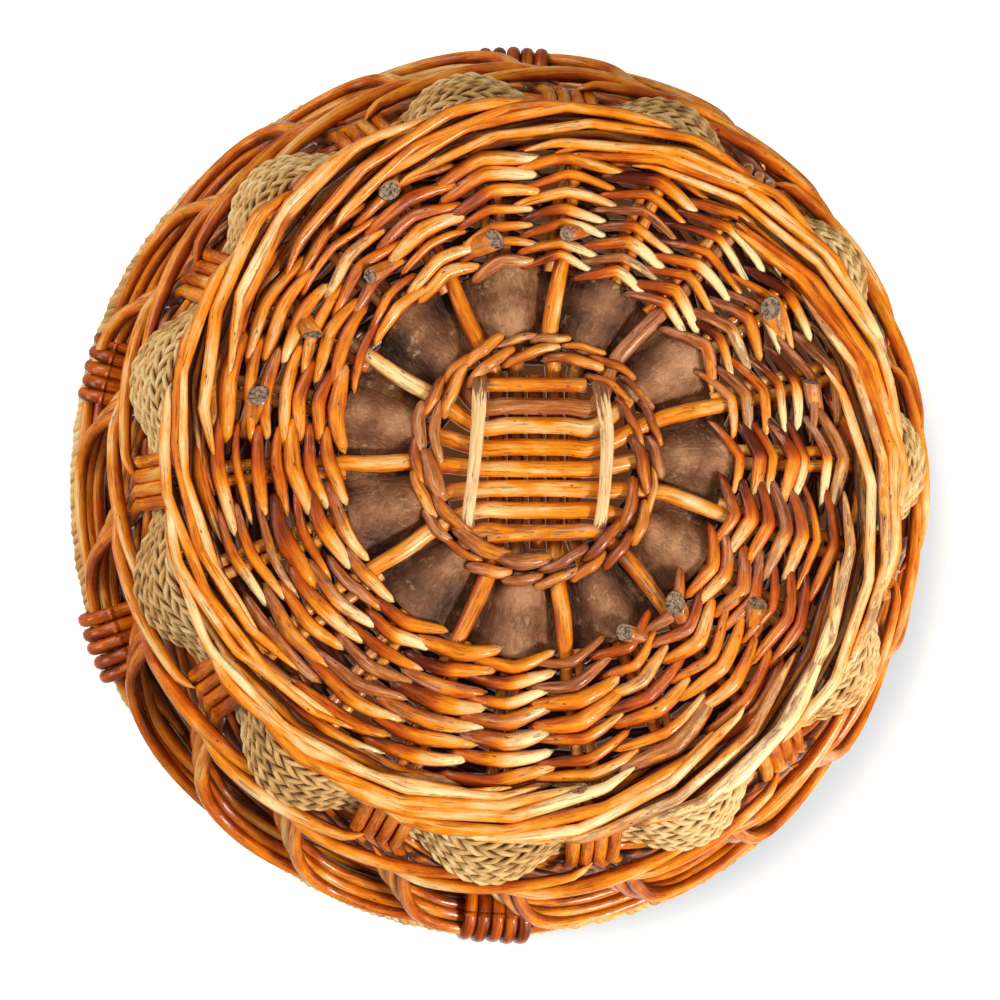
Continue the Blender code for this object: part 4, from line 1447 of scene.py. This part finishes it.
@dataclass
class Rim:
    """Hoops of willow that clasp the ends of the stakes, with a seagrass rope along the outer edge.

    Each hoop has a radius, a level and a rod radius in millimetres, and third_span is in degrees.
    """

    hoops: tuple[Triple, ...] = (
        (183.2, 126.8, 2.9), (183.8, 132.0, 2.8), (170.6, 126.6, 2.9), (171.6, 132.6, 2.6),
        (177.4, 131.0, 2.8))
    outer_hoops: int = 2
    thirds: int = 3
    third_span: float = 134
    rope_radius: float = 187.4 * MM
    rope_level: float = 136.2 * MM
    rope_rings: int = 961
    rope_turns: float = 1.004
    rope_push: float = 2.2 * MM
    rope_push_turn: float = math.radians(196)

    def build(self) -> None:
        """Build the hoops and the rope."""
        parts = (("rim_hoops_outer", self.hoops[:self.outer_hoops], ["rim_hoop_outer"]),
                 ("rim_hoops_inner", self.hoops[self.outer_hoops:], ["rim_hoop_inner"]))
        for name, hoops, nodes in parts:
            bundle = Bundle(name)
            for number, (radius, level, thick) in enumerate(hoops):
                for third in range(self.thirds):
                    self.add_rod(bundle, radius, level, thick, third * 120 + 37 * number)
            bundle.piece(ORANGE_WILLOW, nodes)
        bundle = Bundle("rim_seagrass_rope")
        turn = np.linspace(0, 2 * math.pi * self.rope_turns, self.rope_rings)
        level = self.rope_level + 0.5 * MM * np.sin(turn * 9)
        radius = self.rope_radius + 0.5 * MM * np.sin(turn * 7 + 1)
        radius = radius + self.rope_push * np.clip(2 * np.cos(turn - self.rope_push_turn) - 1, 0, 1)
        middle = PLAN.place(radius, turn, level)
        out = PLAN.outward(turn) * 0.8 + UP * 0.6
        rope = RopeRow(strands=3, strand_radius=1.9 * MM, offset=2.0 * MM, lay=11 * MM)
        # soil=0.3 paints shade over the whole rope, most on its inner faces.
        rope.add(bundle, middle, out, sides=7, painted_shade=0.3)
        bundle.piece(Seagrass(), ["rim_rope"])

    def add_rod(self, bundle: Bundle, radius: float, level: float, thick: float, start: float) -> None:
        """Add a third of a hoop, long enough to lie beside the next.

        Args:
            bundle: where it goes.
            radius: the hoop's radius in millimetres.
            level: its height in millimetres.
            thick: the rod's radius in millimetres.
            start: where it starts, in degrees.
        """
        share = np.linspace(0, 1, 97)
        turn = np.radians(start + self.third_span * share)
        slide = (share - 0.5) * 1.6 * MM
        path = PLAN.place(radius * MM + slide, turn, level * MM + 0.5 * MM * np.sin(share * 17 + start))
        tone = 0.5 + 0.15 * np.sin(share * 9 + start) + SHUFFLE.uniform(-0.1, 0.1)
        bundle.add(path, thick * MM * (1.05 - 0.25 * share), PLAN.outward(turn), Look(tone, 0.15, 0.12),
                   ends=(End.CUT, End.POINT), taper=30 * MM)


@dataclass
class Lashings:
    """Rods wound five times round the rim, in four places: a turn in degrees and a half width."""

    places: tuple[tuple[float, float], ...] = (
        (92.5, 11.4 * MM), (159.0, 14.6 * MM), (195.5, 10.4 * MM), (270.5, 10.2 * MM))
    wraps: int = 5
    pitch: float = 5.9 * MM
    radius: float = 2.95 * MM
    middle: float = 179.6 * MM
    level: float = 124.6 * MM
    half_height: float = 16.0 * MM

    def build(self) -> None:
        """Build the lashings, one piece each."""
        for number, (turn, half_width) in enumerate(self.places):
            bundle = Bundle(f"rim_lashing_{number + 1}_wraps")
            for wrap in range(self.wraps):
                self.add_wrap(bundle, math.radians(turn), half_width, wrap)
            bundle.piece(STAINED_WILLOW, [f"rim_lashing_{number + 1}"])

    def add_wrap(self, bundle: Bundle, turn: float, half_width: float, wrap: int) -> None:
        """Add one turn of a lashing round the rim.

        Args:
            bundle: where it goes.
            turn: middle of the lashing.
            half_width: how far it reaches on either side of the rim's middle.
            wrap: its number.
        """
        angle = np.linspace(0, 2 * math.pi * 1.02, 49) - math.pi / 2
        beside = (wrap - (self.wraps - 1) / 2) * self.pitch + SHUFFLE.uniform(-0.3, 0.3) * MM
        slip = beside + 0.22 * self.pitch * np.sin(angle)
        wide = half_width + SHUFFLE.uniform(-0.6, 0.6) * MM
        tall = self.half_height + SHUFFLE.uniform(-0.9, 0.2) * MM
        cosine, sine = np.cos(angle), np.sin(angle)
        reach = self.middle + wide * np.sign(cosine) * np.abs(cosine) ** 0.75
        height = self.level + tall * np.sign(sine) * np.abs(sine) ** 0.8
        path = PLAN.place(reach, turn + slip / self.middle, height)
        hub = PLAN.place(self.middle, turn + slip / self.middle, self.level)
        out = path - hub
        tone = 0.26 + SHUFFLE.uniform(-0.12, 0.14) + 0.12 * np.sin(angle * 2)
        bundle.add(path, self.radius, out, Look(tone, 0.05, 0.05, 1.0), sides=10, flat=0.86)


@dataclass
class CutEnds:
    """Butts of weavers and of extra sticks, cut off where they stand out of the base.

    Each place has x and y in millimetres, a heading in degrees and the rod's radius in millimetres.
    """

    places: tuple[tuple[float, float, float, float], ...] = (
        (-110, -26.5, 250, 3.2), (-88.9, -49.9, 115, 3.0), (-58.5, -108.4, 60, 3.0),
        (-66.3, -73.3, 35, 2.6), (-16.8, -88.1, 200, 3.4), (11.7, -90.9, 20, 2.6),
        (93.6, -62.8, 300, 3.4), (110, -33.5, 290, 2.8), (54.6, 56.6, 305, 3.2),
        (87.8, 55.4, 270, 3.2), (16.8, 126.8, 310, 2.8), (34.3, 68.3, 350, 2.8))
    length: float = 16 * MM

    def build(self) -> None:
        """Build the butts."""
        bundle = Bundle("cut_ends")
        for x, y, heading, thick in self.places:
            self.add_butt(bundle, x * MM, y * MM, math.radians(-heading), thick * MM)
        bundle.piece(BROWN_WILLOW, [])

    def add_butt(self, bundle: Bundle, x: float, y: float, heading: float, thick: float) -> None:
        """Add one butt, which comes up from inside the weave and is cut at its end.

        Args:
            bundle: where it goes.
            x: place of the cut across the photograph.
            y: place of the cut down the photograph.
            heading: direction from the cut back into the weave.
            thick: radius of the rod.
        """
        along = np.array((math.cos(heading), math.sin(heading)))
        back = np.linspace(0, 1, 12)
        spot = np.array((x, y)) + along * (back * self.length)[:, None]
        drop = 9.8 * MM - 11.4 * MM * back ** 0.7
        path = PLAN.under_base(np.column_stack([spot, drop]))
        # Painted shade grows along the butt as it goes back into the weave.
        bundle.add(path, thick * (1.32 - 0.3 * back), DOWN, Look(0.42, 0.5, 0.08 + 0.4 * back), sides=12,
                   ends=(End.CUT, End.PLAIN), slant=SHUFFLE.uniform(-0.7, 0.7))


@dataclass
class Studio:
    """White studio: a floor, a ground over the rim with painted shade and a painted shadow, plain soft lamps
    and the camera below the base.
    """

    position: Triple = (-0.1174, 0.0826, -1.239)
    aim: Triple = (-0.0145, 0.0129, 0.0)
    view_angle: float = math.radians(17.955)
    ambient: float = 0.29
    sky: Colour = (1.0, 0.9, 0.78)
    glow: Colour = (0.6, 0.6, 0.6)
    # soft is the grey of the painted shadow beside the rim, and shade the painted shade of the ground inside
    # the rim.
    soft: Colour = (0.66, 0.775, 0.93)
    shade: Colour = (0.09, 0.032, 0.01)
    lamps: tuple[tuple[str, Triple, float, float], ...] = (
        ("window_above", (0.2, 0.2, 1.5), 1.8, 7.0),
        ("window_low_right", (0.95, 0.85, -1.05), 0.3, 26.0),
        ("window_low_left", (-1.1, -0.9, -1.1), 0.9, 14.5),
        ("window_level_left", (-1.5, 0.2, -0.25), 0.7, 8.0),
        ("window_level_right", (1.3, 0.9, 0.0), 0.8, 6.0),
    )
    window: Colour = (1.0, 0.94, 0.84)
    lamp_aim: Triple = (0, 0, 0.06)
    white: Colour = (1.0, 1.0, 1.0)
    black: Colour = (0.0, 0.0, 0.0)
    rim_edge: tuple[float, float] = (0.181, 0.187)
    shadow_edge: tuple[float, float] = (0.162, 0.206)
    shadow_middle: Triple = (0.024, 0.018, 0.0)
    floor_edge: tuple[float, float] = (0.2, 1.6)

    def build(self) -> None:
        """Build the grounds, lamps, sky and camera."""
        self.add_ground("floor", -0.3 * MM, 4.0, False)
        self.add_ground("ground_over_rim", 144.0 * MM, 1.5, True)
        for name, place, size, power in self.lamps:
            self.add_lamp(name, place, size, power)
        self.add_sky()
        self.add_camera()
        bpy.context.scene.view_settings.view_transform = "Standard"

    def add_ground(self, name: str, level: float, size: float, facing_down: bool) -> None:
        """Add a ground that shows only from the side that it faces and lets all light through.

        Args:
            name: its name.
            level: its height.
            size: its width.
            facing_down: whether it faces down, for the view from below.
        """
        bpy.ops.object.select_all(action="DESELECT")
        bpy.ops.mesh.primitive_plane_add(size=size, location=(0, 0, level))
        ground = bpy.context.object
        ground.name = name
        bpy.ops.object.transform_apply(location=True)
        if facing_down:
            ground.data.flip_normals()
        recipe = Recipe(name)
        tree = recipe.tree
        tree.nodes.remove(recipe.shader)
        path = recipe.node("ShaderNodeLightPath", {}, {})
        side = recipe.node("ShaderNodeNewGeometry", {}, {})
        facing = 1.0 - Flow(recipe, side.outputs["Backfacing"])
        shown = Flow(recipe, path.outputs["Is Camera Ray"]) * facing
        clear = recipe.node("ShaderNodeBsdfTransparent", {}, {})
        place = recipe.node("ShaderNodeTexCoord", {}, {})
        spot = Flow(recipe, place.outputs["Object"])
        reach = self.reach_from(recipe, spot, (0.0, 0.0, 0.0))
        if facing_down:
            # Painted shade inside the rim, a dark colour that also glows, for the ground seen through the
            # weave; painted shadow in an oval beside the rim, grey and without glow.
            beyond = reach.step(*self.rim_edge)
            away = self.reach_from(recipe, spot, self.shadow_middle).step(*self.shadow_edge)
            colour = recipe.mix(beyond, self.shade, recipe.mix(away, self.soft, self.white))
            light = recipe.mix(beyond, self.shade, recipe.mix(away, self.black, self.glow))
        else:
            colour = self.white
            # The floor glows weakly near the basket and fully white far off.
            light = recipe.mix(reach.step(*self.floor_edge), darker(self.glow, 0.4), self.white)
        diffuse = recipe.node("ShaderNodeBsdfDiffuse", {}, {"Color": colour})
        glow = recipe.node("ShaderNodeEmission", {}, {"Color": light, "Strength": 1.0})
        paper = recipe.node("ShaderNodeAddShader", {}, {})
        tree.links.new(glow.outputs[0], paper.inputs[0])
        tree.links.new(diffuse.outputs[0], paper.inputs[1])
        sheet = recipe.node("ShaderNodeMixShader", {}, {0: shown})
        tree.links.new(clear.outputs[0], sheet.inputs[1])
        tree.links.new(paper.outputs[0], sheet.inputs[2])
        tree.links.new(sheet.outputs[0], recipe.output.inputs[0])
        ground.data.materials.append(recipe.material)

    def reach_from(self, recipe: Recipe, spot: Flow, middle: Triple) -> Flow:
        """Return the level distance from a middle, on an oval like the rim's.

        Args:
            recipe: the ground's material.
            spot: place on the ground.
            middle: the oval's middle.

        Returns:
            The distance.
        """
        moved = recipe.node("ShaderNodeVectorMath", {"operation": "SUBTRACT"}, {0: spot, 1: middle})
        level = recipe.scaled(Flow(recipe, moved.outputs[0]), (1 - PLAN.oval[0], 1 - PLAN.oval[1], 0.0))
        reach = recipe.node("ShaderNodeVectorMath", {"operation": "LENGTH"}, {0: level})
        return Flow(recipe, reach.outputs["Value"])

    def add_lamp(self, name: str, place: Triple, size: float, power: float) -> None:
        """Add a square soft lamp that faces the basket.

        Args:
            name: its name.
            place: where it hangs.
            size: its width.
            power: its power in watts.
        """
        lamp = bpy.data.lights.new(name, "AREA")
        lamp.size = size
        lamp.energy = power
        lamp.color = self.window
        holder = bpy.data.objects.new(name, lamp)
        holder.location = place
        aim = Vector(self.lamp_aim) - Vector(place)
        holder.rotation_euler = aim.to_track_quat("-Z", "Y").to_euler()
        bpy.context.scene.collection.objects.link(holder)

    def add_sky(self) -> None:
        """Make the surroundings white for the camera and softer as light."""
        world = bpy.data.worlds.new("studio")
        bpy.context.scene.world = world
        world.use_nodes = True
        tree = world.node_tree
        light = next(n for n in tree.nodes if n.type == "BACKGROUND")
        output = next(n for n in tree.nodes if n.type == "OUTPUT_WORLD")
        light.inputs["Color"].default_value = (*self.sky, 1.0)
        light.inputs["Strength"].default_value = self.ambient
        white = tree.nodes.new("ShaderNodeBackground")
        white.inputs["Color"].default_value = (*self.white, 1.0)
        path = tree.nodes.new("ShaderNodeLightPath")
        join = tree.nodes.new("ShaderNodeMixShader")
        tree.links.new(path.outputs["Is Camera Ray"], join.inputs[0])
        tree.links.new(light.outputs[0], join.inputs[1])
        tree.links.new(white.outputs[0], join.inputs[2])
        tree.links.new(join.outputs[0], output.inputs[0])

    def add_camera(self) -> None:
        """Add the camera that looks up at the base, with the basket's back at the top of the picture."""
        lens = bpy.data.cameras.new("camera")
        lens.angle = self.view_angle
        camera = bpy.data.objects.new("camera", lens)
        back = (Vector(self.position) - Vector(self.aim)).normalized()
        right = Vector((0, -1, 0)).cross(back).normalized()
        top = back.cross(right)
        turn = Matrix((right, top, back)).transposed().to_4x4()
        camera.matrix_world = Matrix.Translation(self.position) @ turn
        bpy.context.scene.collection.objects.link(camera)
        bpy.context.scene.camera = camera


def main() -> None:
    """Build the basket from its base to its rim, then the studio."""
    logging.basicConfig(level=logging.INFO, format="%(message)s")
    for part in (BaseCross(), InnerPairing(), BarkBand(), BaseWeave(), FootBorder(), SideStakes(),
                 SeagrassBraid(), Waling(), Rim(), Lashings(), CutEnds()):
        part.build()
    Studio().build()


if __name__ == "__main__":
    main()
